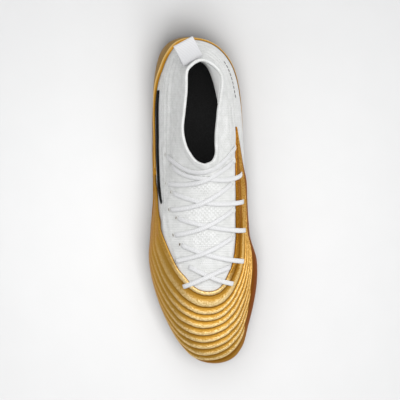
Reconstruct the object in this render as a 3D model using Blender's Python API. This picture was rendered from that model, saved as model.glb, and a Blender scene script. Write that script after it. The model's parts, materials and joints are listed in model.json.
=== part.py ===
# Mid-cut football cleat, wearer's right shoe: knit bootie, ribbed forefoot skin, moulded plate and studs.
# The toe points to -Y, the medial (big toe) side faces +X, and the studs stand on Z = 0.

from collections import namedtuple
from math import cos, pi, sin

import bmesh
import bpy
import numpy as np

# Overall sizes
SHOE_LENGTH = 0.300
BALL_WIDTH = 0.098
COLLAR_HEIGHT = 0.098
STUD_HEIGHT = 0.0125
PLATE_THICKNESS = 0.0034
TOE_SPRING = 0.009
ARCH_RISE = 0.005
UPPER_WALL = 0.0022
CLEARANCE = 0.0003
LAMINATE_GAP = 0.0005

# Parts laid over the upper
PLATE_GAP = 0.0006
SKIN_THICKNESS = 0.0013
SKIN_PIPING_WIDTH = 0.0022
RIB_COUNT = 9
RIB_RELIEF = 0.0009
COUNTER_THICKNESS = 0.0014
PIPING_WIDTH = 0.0028
PIPING_THICKNESS = 0.0010
INSOLE_THICKNESS = 0.004

# Pull tab, laces and studs
TAB_WIDTH = 0.0195
TAB_LENGTH = 0.0205
TAB_PLY = 0.0013
LACE_WIDTH = 0.0038
LACE_THICKNESS = 0.0015
LACE_GAP = 0.0012
LACE_DIP = 0.0004
STUD_LENGTH = 0.019
STUD_WIDTH = 0.0105

# Fineness of the meshes
RING_POINTS = 64
LINING_ROWS = 12
LACE_STEPS = 12
STUD_SIDES = 12
NORMAL_STEP = 0.004
DRAPE_ROUNDS = 30

HALF_LENGTH = SHOE_LENGTH / 2
HALF_BALL = BALL_WIDTH / 2
FEATHER_HEIGHT = STUD_HEIGHT + PLATE_THICKNESS


def table(columns, *rows):
    """Rows of numbers whose columns have names."""
    line = namedtuple("line", columns)
    return [line(*row) for row in rows]


# Plan outline of the last, toe (-1) to heel (+1). midline is the bend of the centre line and fullness is
# the half width over that of an ellipse; both are shares of half the ball width.
OUTLINE = table(
    "station midline fullness",
    (-1.00, 0.270, 1.500),
    (-0.91, 0.245, 1.260),
    (-0.76, 0.170, 1.140),
    (-0.54, 0.105, 1.125),
    (-0.39, 0.062, 1.088),
    (-0.20, -0.004, 0.935),
    (0.05, 0.008, 0.858),
    (0.34, -0.018, 0.900),
    (0.60, -0.045, 1.035),
    (0.80, -0.082, 1.230),
    (0.92, -0.145, 1.440),
    (1.00, -0.200, 1.700),
)

# Top face of the plate along the shoe: rise above the ball in shares of the toe spring and of the arch rise.
PLATE = table(
    "station spring arch",
    (-1.00, 1.00, 0.00),
    (-0.80, 0.42, 0.00),
    (-0.60, 0.08, 0.00),
    (-0.40, 0.00, 0.00),
    (-0.15, 0.00, 0.45),
    (0.10, 0.00, 1.00),
    (0.35, 0.00, 0.80),
    (0.62, 0.00, 0.25),
    (1.00, 0.00, 0.20),
)

# Level curves of the last, from the feather line (0) up to the collar rim (1). nose and back are the ends
# of the curve along the shoe in shares of half its length. The z columns are heights over the feather line
# in shares of the collar height, at the nose, the sides and the back. toe, ball, waist and heel are the
# widths of the curve at four places along it, in shares of the outline's own, and oval blends the outline
# into an ellipse. follow is how much the curve keeps of the plate's rises and falls, and sway leans it to
# the medial side behind and to the lateral side in front, in shares of half the ball width.
LEVELS = table(
    "level nose back z_nose z_side z_back toe ball waist heel oval follow sway",
    (0.00, -0.972, 0.966, 0.000, 0.000, 0.000, 0.930, 0.935, 0.920, 0.900, 0.00, 1.00, 0.000),
    (0.08, -0.990, 0.982, 0.075, 0.085, 0.085, 0.960, 0.965, 0.955, 0.945, 0.00, 0.97, 0.000),
    (0.17, -0.988, 0.988, 0.165, 0.185, 0.195, 0.955, 0.970, 0.970, 0.955, 0.00, 0.85, 0.000),
    (0.27, -0.958, 0.986, 0.250, 0.290, 0.310, 0.930, 0.940, 0.940, 0.940, 0.05, 0.65, 0.000),
    (0.38, -0.875, 0.978, 0.345, 0.390, 0.420, 0.870, 0.850, 0.865, 0.895, 0.15, 0.42, 0.005),
    (0.49, -0.700, 0.959, 0.450, 0.485, 0.525, 0.750, 0.760, 0.775, 0.830, 0.30, 0.22, 0.010),
    (0.60, -0.480, 0.932, 0.560, 0.580, 0.630, 0.680, 0.675, 0.680, 0.770, 0.50, 0.08, 0.018),
    (0.71, -0.240, 0.902, 0.670, 0.675, 0.735, 0.630, 0.600, 0.595, 0.715, 0.75, 0.00, 0.028),
    (0.82, -0.010, 0.873, 0.790, 0.775, 0.835, 0.560, 0.530, 0.510, 0.620, 0.93, 0.00, 0.040),
    (0.92, 0.152, 0.851, 0.915, 0.865, 0.925, 0.490, 0.450, 0.430, 0.530, 1.00, 0.00, 0.048),
    (1.00, 0.216, 0.845, 1.000, 0.940, 0.985, 0.450, 0.370, 0.350, 0.450, 1.00, 0.00, 0.055),
)
LEVEL_STATIONS = ("toe", "ball", "waist", "heel")

# Rows of the upper's wall: level, and how far the rolled rim stands out in shares of the wall.
UPPER_ROWS = table(
    "level bead",
    (0.00, 0.00),
    (0.06, 0.00),
    (0.13, 0.00),
    (0.21, 0.00),
    (0.30, 0.00),
    (0.40, 0.00),
    (0.50, 0.00),
    (0.61, 0.00),
    (0.72, 0.00),
    (0.83, 0.00),
    (0.93, 0.00),
    (0.97, 0.35),
    (1.00, 0.25),
)

# Forefoot skin, round the toe from the lateral waist to the medial waist. round is the place on the level
# curves (heel 0, lateral waist 0.5, toe 1, medial waist 1.5), edge and foot are the levels of its upper and
# lower edges, and first and last are the levels of the first and the last rib groove.
SKIN = table(
    "round edge foot first last",
    (0.450, 0.100, 0.014, 0.060, 0.030),
    (0.484, 0.255, 0.014, 0.190, -0.300),
    (0.530, 0.345, 0.014, 0.280, -0.300),
    (0.600, 0.470, 0.014, 0.370, -0.250),
    (0.690, 0.532, 0.014, 0.420, -0.150),
    (0.770, 0.542, 0.014, 0.460, 0.000),
    (0.850, 0.562, 0.014, 0.495, 0.150),
    (1.000, 0.563, 0.014, 0.512, 0.245),
    (1.100, 0.561, 0.014, 0.507, 0.285),
    (1.160, 0.561, 0.014, 0.495, 0.230),
    (1.240, 0.551, 0.014, 0.468, 0.172),
    (1.310, 0.555, 0.014, 0.455, 0.135),
    (1.360, 0.628, 0.014, 0.455, 0.150),
    (1.420, 0.662, 0.014, 0.455, 0.200),
    (1.490, 0.650, 0.060, 0.450, 0.250),
    (1.560, 0.615, 0.400, 0.580, 0.440),
    (1.606, 0.582, 0.560, 0.575, 0.565),
)

# Heel counter from the lateral waist round the back to the medial waist: turn is negative on the lateral
# side, and top is the level of its upper edge.
COUNTER = table(
    "turn top",
    (-0.435, 0.10),
    (-0.32, 0.25),
    (-0.20, 0.45),
    (-0.10, 0.52),
    (0.00, 0.40),
    (0.12, 0.27),
    (0.28, 0.18),
    (0.44, 0.10),
)
COUNTER_FOOT = 0.014

# Rows of the counter from its foot to its top edge, in shares of its height and of its thickness.
COUNTER_ROWS = table(
    "rise thickness",
    (0.00, 1.0),
    (0.08, 1.0),
    (0.18, 1.0),
    (0.34, 1.0),
    (0.55, 1.0),
    (0.80, 1.0),
    (1.00, 0.5),
)

# Ribs of the skin: how evenly they are spread, the crest's place between two grooves, the slope under the
# piping in shares of its width, the bulge of the smooth band below the last groove in shares of the relief,
# and the least step between two rows in shares of the skin's height.
RIB_EVEN = 0.6
RIB_CREST = 0.65
PIPING_SLOPE = 0.18
BAND_BULGE = 0.25
ROW_STEP = 0.012

# Places round the skin where the ribs begin, reach their full relief, begin to fade and end.
RIB_FADE = (0.56, 0.70, 1.38, 1.46)

# Piping over the plate on the lateral side: places round the level curves and the level it follows.
PIPING = table(
    "turn level",
    (-0.470, 0.275),
    (-0.42, 0.260),
    (-0.36, 0.262),
    (-0.30, 0.300),
)

# Section of the piping: across in shares of its width, up in shares of its thickness.
PIPING_SECTION = table(
    "across up",
    (0.50, 0.3),
    (0.25, 0.8),
    (-0.25, 0.8),
    (-0.50, 0.3),
)

# Edge of the plate over the outline's own half width, on each side, along the shoe.
EDGE = table(
    "station lateral medial",
    (-1.00, 0.985, 1.000),
    (-0.75, 0.975, 0.990),
    (-0.50, 0.975, 0.970),
    (-0.15, 1.005, 0.965),
    (0.10, 1.030, 0.970),
    (0.40, 1.020, 0.975),
    (0.70, 0.990, 0.985),
    (1.00, 0.975, 0.985),
)
PLATE_NOSE = -0.988
PLATE_BACK = 0.982

# Side of the footbed from the bottom up: inset and rise in shares of its thickness.
INSOLE_SIDE = table(
    "inset rise",
    (0.1, 0.0),
    (0.0, 0.3),
    (0.0, 0.8),
    (0.2, 1.0),
)

# Side of the plate from its top edge down: inset and drop in shares of the plate's thickness. The dip in the
# middle is the step that runs round the side.
SIDE = table(
    "inset drop",
    (0.28, 0.00),
    (0.00, 0.16),
    (0.00, 0.38),
    (0.22, 0.48),
    (0.22, 0.60),
    (0.04, 0.70),
    (0.26, 0.92),
    (1.00, 1.00),
)

# Studs: centre along the shoe in shares of half its length, across it in shares of the plate's half width
# there, the turn of the blade in degrees, and its size in shares of the stud length.
STUDS = table(
    "along across turn size",
    (-0.83, -0.42, 62, 0.78),
    (-0.83, 0.42, -62, 0.78),
    (-0.64, -0.70, 80, 0.95),
    (-0.64, 0.70, -80, 0.95),
    (-0.41, -0.74, 86, 1.00),
    (-0.41, 0.74, -86, 1.00),
    (-0.18, -0.70, 96, 1.00),
    (-0.18, 0.70, -96, 1.00),
    (0.55, -0.66, 84, 1.05),
    (0.55, 0.66, -84, 1.05),
    (0.83, -0.56, 66, 1.00),
    (0.83, 0.56, -66, 1.00),
)

# Side of a stud from its tip to its root: rise in shares of its height, and size over that at the root. Its
# outline is a superellipse of this power.
STUD_SIDE = table(
    "rise size",
    (0.00, 0.57),
    (0.06, 0.62),
    (0.82, 0.86),
    (1.00, 1.00),
)
STUD_POWER = 3

# Laces over the throat: each row is one strip from its lateral to its medial eyelet, in shares of half the
# ball width across and of half the length along. bow moves its middle along the shoe, flat is
# the power of its curve, and layer is 1 for the strip that lies on top.
LACES = table(
    "crossing x_lateral y_lateral x_medial y_medial bow flat layer",
    (1, -0.272, -0.401, 0.584, -0.512, 0.013, 2, 0),
    (1, -0.357, -0.530, 0.524, -0.401, 0.003, 2, 1),
    (2, -0.424, -0.269, 0.790, -0.374, 0.021, 2, 0),
    (2, -0.493, -0.370, 0.576, -0.225, 0.024, 2, 1),
    (3, -0.495, -0.107, 0.814, -0.186, 0.019, 2, 0),
    (3, -0.545, -0.214, 0.587, -0.055, 0.031, 2, 1),
    (4, -0.588, 0.049, 0.777, -0.007, 0.040, 2, 0),
    (4, -0.623, -0.058, 0.571, 0.113, 0.045, 2, 1),
    (5, -0.603, 0.218, 0.742, 0.172, 0.066, 4, 0),
    (5, -0.671, 0.102, 0.586, 0.245, 0.058, 2, 1),
    (6, -0.680, 0.279, 0.620, 0.334, 0.137, 2, 1),
)
CROSSINGS = 6

# Levels over the skin's edge between which a lace climbs onto the skin, how much of its thickness the top
# strip of a crossing rises, over what share of its run, and the share over which its ends dip to the eyelets.
LACE_CLIMB = (0.085, 0.165)
CROSS_RISE = 0.6
CROSS_SPREAD = 0.2
DIP_SPREAD = 0.04

# Section of a lace: across in shares of its width, up in shares of its thickness.
LACE_SECTION = table(
    "across up",
    (-0.50, 0.50),
    (-0.36, 1.00),
    (0.36, 1.00),
    (0.50, 0.50),
    (0.36, 0.00),
    (-0.36, 0.00),
)

# Pull tab from the heel wall out to its fold and back: out and up in shares of its length.
TAB = table(
    "out up",
    (0.24, -0.50),
    (0.10, -0.12),
    (0.13, 0.20),
    (0.42, 0.44),
    (0.80, 0.52),
    (0.97, 0.50),
    (1.00, 0.43),
    (0.93, 0.38),
    (0.72, 0.35),
    (0.42, 0.22),
    (0.27, -0.02),
    (0.31, -0.28),
    (0.40, -0.50),
)

# Root of the pull tab: its place on the last, and the way that the tab leans in plan.
TAB_ROOT = table("turn level lean_x lean_y", (-0.105, 0.90, -0.45, 0.89))


def column(rows, name, share):
    """Value of one named column at a share of the first one, on a smooth curve without overshoot."""
    x = np.array([row[0] for row in rows])
    y = np.array([getattr(row, name) for row in rows])
    share = np.clip(np.asarray(share, dtype=float), x[0], x[-1])
    steps = np.diff(x)
    slopes = np.diff(y) / steps
    tangents = np.empty_like(y)
    tangents[0], tangents[-1] = slopes[0], slopes[-1]
    before, after = slopes[:-1], slopes[1:]
    same = before * after > 0
    mean = 2 * before * after / np.where(same, before + after, 1)
    tangents[1:-1] = np.where(same, mean, 0)
    i = np.clip(np.searchsorted(x, share, side="right") - 1, 0, len(steps) - 1)
    u = (share - x[i]) / steps[i]
    return (
        y[i] * (1 + 2 * u) * (1 - u) ** 2
        + tangents[i] * steps[i] * u * (1 - u) ** 2
        + y[i + 1] * u**2 * (3 - 2 * u)
        + tangents[i + 1] * steps[i] * u**2 * (u - 1)
    )


def plate_rise(y):
    """Height of the plate's top face over the ball, at a place along the shoe."""
    station = np.asarray(y) / HALF_LENGTH
    spring = column(PLATE, "spring", station)
    arch = column(PLATE, "arch", station)
    return TOE_SPRING * spring + ARCH_RISE * arch


def outline(y):
    """Midline and fullness of the plan outline at a place along the shoe."""
    station = np.asarray(y) / HALF_LENGTH
    midline = column(OUTLINE, "midline", station) * HALF_BALL
    fullness = column(OUTLINE, "fullness", station) * HALF_BALL
    return midline, fullness


def surface(turn, level):
    """Point of the last's surface. turn goes from the heel (0) to the toe (1), medial side positive."""
    turn, level = np.broadcast_arrays(np.asarray(turn, dtype=float), np.asarray(level, dtype=float))
    value = {name: column(LEVELS, name, level) for name in LEVELS[0]._fields}
    angle = turn * pi
    along = np.cos(angle)
    y = HALF_LENGTH * ((value["back"] + value["nose"]) / 2 + (value["back"] - value["nose"]) / 2 * along)
    spans = len(LEVEL_STATIONS) - 1
    place = (1 - along) / 2 * spans
    widths = np.stack([value[name] for name in LEVEL_STATIONS[::-1]])
    seat = np.clip(place.astype(int), 0, spans - 1)
    part = place - seat
    blend = part * part * (3 - 2 * part)
    low = np.take_along_axis(widths, seat[None], 0)[0]
    high = np.take_along_axis(widths, seat[None] + 1, 0)[0]
    share = low + (high - low) * blend
    fullness = outline(HALF_LENGTH * along)[1]
    fullness = fullness + (HALF_BALL - fullness) * value["oval"]
    sway = 2 * value["sway"] * HALF_BALL * np.abs(np.sin(angle)) * along
    x = outline(y)[0] + sway + share * fullness * np.sin(angle)
    nose, back = np.clip(-along, 0, 1) ** 2, np.clip(along, 0, 1) ** 2
    height = value["z_side"] * (1 - nose - back) + value["z_nose"] * nose + value["z_back"] * back
    z = FEATHER_HEIGHT + COLLAR_HEIGHT * height + value["follow"] * plate_rise(y)
    return np.stack([x, y, z], axis=-1)


def offset_surface(turn, level, distance):
    """Point at a distance outside the last's surface, along its normal."""
    turn, level = np.broadcast_arrays(np.asarray(turn, dtype=float), np.asarray(level, dtype=float))
    low, high = np.clip(level - NORMAL_STEP, 0, 1), np.clip(level + NORMAL_STEP, 0, 1)
    across = surface(turn + NORMAL_STEP, level) - surface(turn - NORMAL_STEP, level)
    upward = surface(turn, high) - surface(turn, low)
    normal = np.cross(across, upward)
    normal = normal / np.linalg.norm(normal, axis=-1, keepdims=True)
    return surface(turn, level) - normal * np.asarray(distance)[..., None]


def skin(name, place):
    """Named column of the skin's table, round the toe from the lateral to the medial side."""
    return column(SKIN, name, place)


def drape(x, y):
    """Turn and level of the points of the last's top side that lie over places of the plan."""
    x, y = np.asarray(x, dtype=float), np.asarray(y, dtype=float)
    low, high = np.zeros(x.shape), np.ones(x.shape)
    for _ in range(DRAPE_ROUNDS):
        middle = (low + high) / 2
        nose = column(LEVELS, "nose", middle) * HALF_LENGTH
        back = column(LEVELS, "back", middle) * HALF_LENGTH
        along = np.clip((2 * y - nose - back) / (back - nose), -1, 1)
        turn = np.arccos(along) / pi
        left, right = surface(-turn, middle)[..., 0], surface(turn, middle)[..., 0]
        inside = (y > nose) & (y < back) & (x > left) & (x < right)
        low, high = np.where(inside, middle, low), np.where(inside, high, middle)
    return np.where(x > (left + right) / 2, turn, -turn), middle


def mesh_object(name, vertices, faces, collection, finish):
    """Object with its own material from points and faces, with its normals pointing out."""
    mesh = bpy.data.meshes.new(name)
    mesh.from_pydata([tuple(v) for v in vertices], [], faces)
    work = bmesh.new()
    work.from_mesh(mesh)
    bmesh.ops.triangulate(work, faces=[f for f in work.faces if len(f.verts) > 3])
    bmesh.ops.recalc_face_normals(work, faces=work.faces)
    work.to_mesh(mesh)
    work.free()
    mesh.shade_smooth()
    mesh.set_sharp_from_angle(angle=0.7)
    mesh.materials.append(finish)
    piece = bpy.data.objects.new(name, mesh)
    collection.objects.link(piece)
    return piece


def material(name, colour, roughness, metallic=0.0):
    finish = bpy.data.materials.new(name)
    finish.use_nodes = True
    shader = finish.node_tree.nodes["Principled BSDF"]
    shader.inputs["Base Color"].default_value = (*colour, 1)
    shader.inputs["Roughness"].default_value = roughness
    shader.inputs["Metallic"].default_value = metallic
    finish.diffuse_color = (*colour, 1)
    return finish


def wall(outer, inner, closed):
    """Vertices and faces of a wall between rows of points outside and inside."""
    rows = list(outer) + list(inner)[::-1]
    count = len(rows[0])
    faces = []
    for i in range(len(rows)):
        below, above = i * count, (i + 1) % len(rows) * count
        for j in range(count if closed else count - 1):
            k = (j + 1) % count
            faces.append((below + j, below + k, above + k, above + j))
    for end in () if closed else (0, count - 1):
        faces.append(tuple(i * count + end for i in range(len(rows))))
    return np.concatenate(rows), faces


def ring_turns(start, end):
    """Places round the last between two ends, at the same points as the upper's own columns."""
    step = 2 / RING_POINTS
    first, last = int(np.ceil(start / step + 0.2)), int(np.floor(end / step - 0.2))
    return np.array([start, *(np.arange(first, last + 1) * step), end])


def laid_over(turn, level, distance):
    """Row of points at a distance outside the last, none lower than a gap over the plate."""
    points = offset_surface(turn, level, distance)
    floor = FEATHER_HEIGHT + plate_rise(points[..., 1]) + PLATE_GAP
    points[..., 2] = np.maximum(points[..., 2], floor)
    return points


def build_upper(collection):
    """Hollow bootie: outside on the last, inside one wall in, with a rolled rim round the collar."""
    turn = np.linspace(0, 2, RING_POINTS, endpoint=False)
    outer, inner = [], []
    for row in UPPER_ROWS:
        outer.append(offset_surface(turn, row.level, row.bead * UPPER_WALL))
        inner.append(offset_surface(turn, row.level, -UPPER_WALL))
    for ring in (outer[0], inner[0]):
        ring[:, 2] = FEATHER_HEIGHT + plate_rise(ring[:, 1]) + CLEARANCE
    finish = material("white knit", (0.80, 0.80, 0.79), 0.75)
    mesh_object("upper", *wall(outer, inner, closed=True), collection, finish)


def plate_ring(turn, inset):
    """Curve of the plate's edge in plan, moved in by an inset."""
    angle = turn * pi
    along = np.cos(angle)
    y = HALF_LENGTH * ((PLATE_BACK + PLATE_NOSE) / 2 + (PLATE_BACK - PLATE_NOSE) / 2 * along)
    lateral = column(EDGE, "lateral", along)
    medial = column(EDGE, "medial", along)
    share = np.where(np.sin(angle) > 0, medial, lateral)
    half = share * outline(HALF_LENGTH * along)[1] - inset
    return np.stack([outline(y)[0] + half * np.sin(angle), y - inset * along], axis=-1)


def stack(rings, name, collection, finish):
    """Solid from a stack of rings whose two halves mirror each other along the shoe."""
    count = len(rings[0])
    faces = []
    for i in range(len(rings) - 1):
        for j in range(count):
            k = (j + 1) % count
            faces.append((i * count + j, i * count + k, (i + 1) * count + k, (i + 1) * count + j))
    for start in (0, (len(rings) - 1) * count):
        for j in range(1, count // 2 - 1):
            faces.append((start + j, start + j + 1, start + count - j - 1, start + count - j))
        faces.append((start, start + 1, start + count - 1))
        half = count // 2
        faces.append((start + half, start + half - 1, start + half + 1))
    return mesh_object(name, np.concatenate(rings), faces, collection, finish)


def build_plate(collection):
    """Moulded plate under the whole foot, with toe spring, arch and a step round its side."""
    turn = np.linspace(0, 2, RING_POINTS, endpoint=False)
    rings = []
    for row in SIDE:
        plan = plate_ring(turn, row.inset * PLATE_THICKNESS)
        z = FEATHER_HEIGHT + plate_rise(plan[:, 1]) - row.drop * PLATE_THICKNESS
        rings.append(np.column_stack([plan, z]))
    finish = material("gold moulded plate", (0.42, 0.27, 0.07), 0.38, 0.3)
    stack(rings, "sole_plate", collection, finish)


def build_insole(collection):
    """Removable footbed lying on the plate inside the upper."""
    turn = np.linspace(0, 2, RING_POINTS, endpoint=False)
    rings = []
    for row in INSOLE_SIDE:
        ring = surface(turn, 0.0)
        reach = UPPER_WALL + 3 * CLEARANCE + row.inset * INSOLE_THICKNESS
        ring[:, 0] -= reach * np.sin(turn * pi)
        ring[:, 1] -= reach * np.cos(turn * pi)
        ring[:, 2] = FEATHER_HEIGHT + plate_rise(ring[:, 1]) + CLEARANCE + row.rise * INSOLE_THICKNESS
        rings.append(ring)
    stack(rings, "insole", collection, material("black footbed", (0.012, 0.012, 0.012), 0.85))


def rib_rows(place):
    """Rows of the skin's outside from top to bottom: level at each place round it, and height over it."""
    edge, foot = skin("edge", place), skin("foot", place)
    first, last = skin("first", place), skin("last", place)
    band = SKIN_PIPING_WIDTH / COLLAR_HEIGHT
    fade = np.interp(place, RIB_FADE, (0, 1, 1, 0))
    rows = [(edge, 1), (edge - band, 1), (edge - band * (1 + PIPING_SLOPE), 0)]
    for i in range(RIB_COUNT):
        for part, height in ((0, 0), (RIB_CREST, fade)):
            share = (i + part) / (RIB_COUNT - 1)
            spread = RIB_EVEN * share + (1 - RIB_EVEN) * share**3
            rows.append((first + (last - first) * spread, height))
    rows.append(((last + foot) / 2, BAND_BULGE * fade))
    rows.append((foot, 0))
    levels = []
    for i, (level, height) in enumerate(rows):
        least = foot + ROW_STEP * (edge - foot) * (len(rows) - 1 - i)
        levels.append((np.maximum(level, least), height))
    return levels


def build_skin(collection):
    """Ribbed skin moulded over the forefoot, with a raised piping where the knit begins."""
    place = ring_turns(SKIN[0].round, SKIN[-1].round)
    middles = (place[1:] + place[:-1]) / 2
    place = np.sort(np.concatenate([place, middles[middles > RIB_FADE[-1]]]))
    turn = -place
    outside = LAMINATE_GAP + SKIN_THICKNESS
    outer = [laid_over(turn, level, outside + height * RIB_RELIEF) for level, height in rib_rows(place)]
    edge, foot = skin("edge", place), skin("foot", place)
    shares = np.linspace(0, 1, LINING_ROWS)
    inner = [laid_over(turn, edge + (foot - edge) * share, LAMINATE_GAP) for share in shares]
    finish = material("gold skin", (0.55, 0.36, 0.10), 0.33, 0.5)
    mesh_object("forefoot_skin", *wall(outer, inner, closed=False), collection, finish)


def build_counter(collection):
    """Stiff cup round the heel, highest at the lateral back."""
    turn = ring_turns(COUNTER[0].turn, COUNTER[-1].turn)
    top = column(COUNTER, "top", turn)
    outer, inner = [], []
    for row in COUNTER_ROWS:
        level = COUNTER_FOOT + (top - COUNTER_FOOT) * row.rise
        outer.append(laid_over(turn, level, LAMINATE_GAP + COUNTER_THICKNESS * row.thickness))
        inner.append(laid_over(turn, level, LAMINATE_GAP))
    finish = material("gold counter", (0.33, 0.22, 0.08), 0.45, 0.3)
    mesh_object("heel_counter", *wall(outer, inner, closed=False), collection, finish)


def build_piping(collection):
    """Black piping along the lateral side, above the plate."""
    turn = ring_turns(PIPING[0].turn, PIPING[-1].turn)
    middle = column(PIPING, "level", turn)
    outer, inner = [], []
    for row in PIPING_SECTION:
        level = middle + row.across * PIPING_WIDTH / COLLAR_HEIGHT
        outer.append(offset_surface(turn, level, CLEARANCE + row.up * PIPING_THICKNESS))
        inner.append(offset_surface(turn, level, CLEARANCE))
    finish = material("black piping", (0.01, 0.01, 0.01), 0.5)
    mesh_object("side_piping", *wall(outer, inner, closed=False), collection, finish)


def lace_strip(lace):
    """Vertices and faces of one lace strip laid over the throat between two eyelets."""
    share = np.linspace(0, 1, LACE_STEPS)
    x = HALF_BALL * (lace.x_lateral + (lace.x_medial - lace.x_lateral) * share)
    bow = lace.bow * (1 - np.abs(2 * share - 1) ** lace.flat)
    y = HALF_LENGTH * (lace.y_lateral + (lace.y_medial - lace.y_lateral) * share - bow)
    turn, level = drape(x, y)
    edge = skin("edge", np.where(turn < 0, -turn, 2 - turn))
    climb = np.interp(level - edge, LACE_CLIMB, (1, 0))
    lift = LACE_GAP + climb * (LAMINATE_GAP + SKIN_THICKNESS + RIB_RELIEF)
    lift = lift + lace.layer * CROSS_RISE * LACE_THICKNESS * np.exp(-((share - 0.5) / CROSS_SPREAD) ** 2)
    lift = lift - LACE_DIP * np.exp(-((0.5 - np.abs(share - 0.5)) / DIP_SPREAD) ** 2)
    base = offset_surface(turn, level, lift)
    above = offset_surface(turn, level, lift + LACE_THICKNESS) - base
    side = np.cross(np.gradient(base, axis=0), above)
    side = side / np.linalg.norm(side, axis=-1, keepdims=True) * LACE_WIDTH
    rows = [base + side * corner.across + above * corner.up for corner in LACE_SECTION]
    return tube(rows)


def tube(rows):
    """Vertices and faces of a strip with the given long edges, capped at both ends."""
    sides, count = len(rows), len(rows[0])
    faces = []
    for i in range(sides):
        k = (i + 1) % sides
        for j in range(count - 1):
            faces.append((i * count + j, i * count + j + 1, k * count + j + 1, k * count + j))
    for end in (0, count - 1):
        faces.append(tuple(i * count + end for i in range(sides)))
    return np.concatenate(rows), faces


def build_laces(collection, helpers):
    """The strips that cross each other are joined into one solid for each crossing."""
    finish = material("white lace", (0.82, 0.82, 0.82), 0.8)
    for crossing in range(1, CROSSINGS + 1):
        first, *others = [lace for lace in LACES if lace.crossing == crossing]
        cross = mesh_object(f"lace_cross_{crossing}", *lace_strip(first), collection, finish)
        for lace in others:
            other = mesh_object(f"lace_over_{crossing}", *lace_strip(lace), helpers, finish)
            other.hide_render = True
            other.display_type = "WIRE"
            join = cross.modifiers.new("join", "BOOLEAN")
            join.operation = "UNION"
            join.object = other


def build_tab(collection):
    """Webbing pull tab folded back over the heel rim."""
    place = TAB_ROOT[0]
    root = offset_surface(place.turn, place.level, 2 * CLEARANCE + TAB_PLY)
    lean = np.array([place.lean_x, place.lean_y, 0.0])
    lean = lean / np.linalg.norm(lean)
    up = np.array([0.0, 0.0, 1.0])
    side = np.cross(lean, up)
    path = np.array(TAB) * TAB_LENGTH
    run = np.gradient(path, axis=0)
    run = run / np.linalg.norm(run, axis=1, keepdims=True)
    outward = np.column_stack([-run[:, 1], run[:, 0]])
    rows = []
    for across, ply in ((-0.5, -0.5), (0.5, -0.5), (0.5, 0.5), (-0.5, 0.5)):
        flat = path + outward * ply * TAB_PLY
        rows.append(root + flat[:, :1] * lean + flat[:, 1:] * up + across * TAB_WIDTH * side)
    mesh_object("pull_tab", *tube(rows), collection, material("white webbing", (0.8, 0.8, 0.8), 0.7))


def build_studs(collection):
    """Bladed studs: flat tips on the floor, tops a clearance under the plate."""
    finish = material("gold stud", (0.45, 0.30, 0.09), 0.35, 0.3)
    angle = np.linspace(0, 2 * pi, STUD_SIDES, endpoint=False)
    corners = np.abs(np.cos(angle)) ** STUD_POWER + np.abs(np.sin(angle)) ** STUD_POWER
    blade = np.column_stack([STUD_LENGTH * np.cos(angle), STUD_WIDTH * np.sin(angle)]) / 2
    blade = blade / corners[:, None] ** (1 / STUD_POWER)
    for number, stud in enumerate(STUDS):
        y = stud.along * HALF_LENGTH
        centre = np.array([outline(y)[0] + stud.across * plate_half(y), y])
        heading = stud.turn * pi / 180
        turned = blade @ np.array([[cos(heading), sin(heading)], [-sin(heading), cos(heading)]])
        rings = []
        for row in STUD_SIDE:
            plan = centre + turned * row.size * stud.size
            top = STUD_HEIGHT + plate_rise(plan[:, 1]) - CLEARANCE
            rings.append(np.column_stack([plan, top * row.rise]))
        stack(rings, f"stud_{number + 1:02d}", collection, finish)


def plate_half(y):
    """Half width of the plate at a place along the shoe."""
    ring = plate_ring(np.linspace(1, 0, RING_POINTS), 0.0)
    return np.interp(y, ring[:, 1], ring[:, 0] - outline(ring[:, 1])[0])


def stand_centred(pieces, helpers):
    """Moves the shoe over the floor until its box is centred on the origin."""
    points = np.array([vertex.co for piece in pieces for vertex in piece.data.vertices])
    middle = (points.min(axis=0) + points.max(axis=0)) / 2
    for item in [*pieces, *helpers]:
        item.location = (-middle[0], -middle[1], 0.0)


def build():
    for item in list(bpy.data.objects):
        bpy.data.objects.remove(item)
    parts = bpy.data.collections.new("football cleat")
    helpers = bpy.data.collections.new("helpers")
    bpy.context.scene.collection.children.link(parts)
    bpy.context.scene.collection.children.link(helpers)
    build_plate(parts)
    build_studs(parts)
    build_upper(parts)
    build_insole(parts)
    build_skin(parts)
    build_counter(parts)
    build_piping(parts)
    build_laces(parts, helpers)
    build_tab(parts)
    stand_centred(parts.objects, helpers.objects)


build()
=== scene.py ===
# American football cleat, wearer's right shoe: knit bootie, ribbed gold forefoot, moulded plate and studs.
import json
from collections import namedtuple
from math import cos, pi, radians, sin

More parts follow.
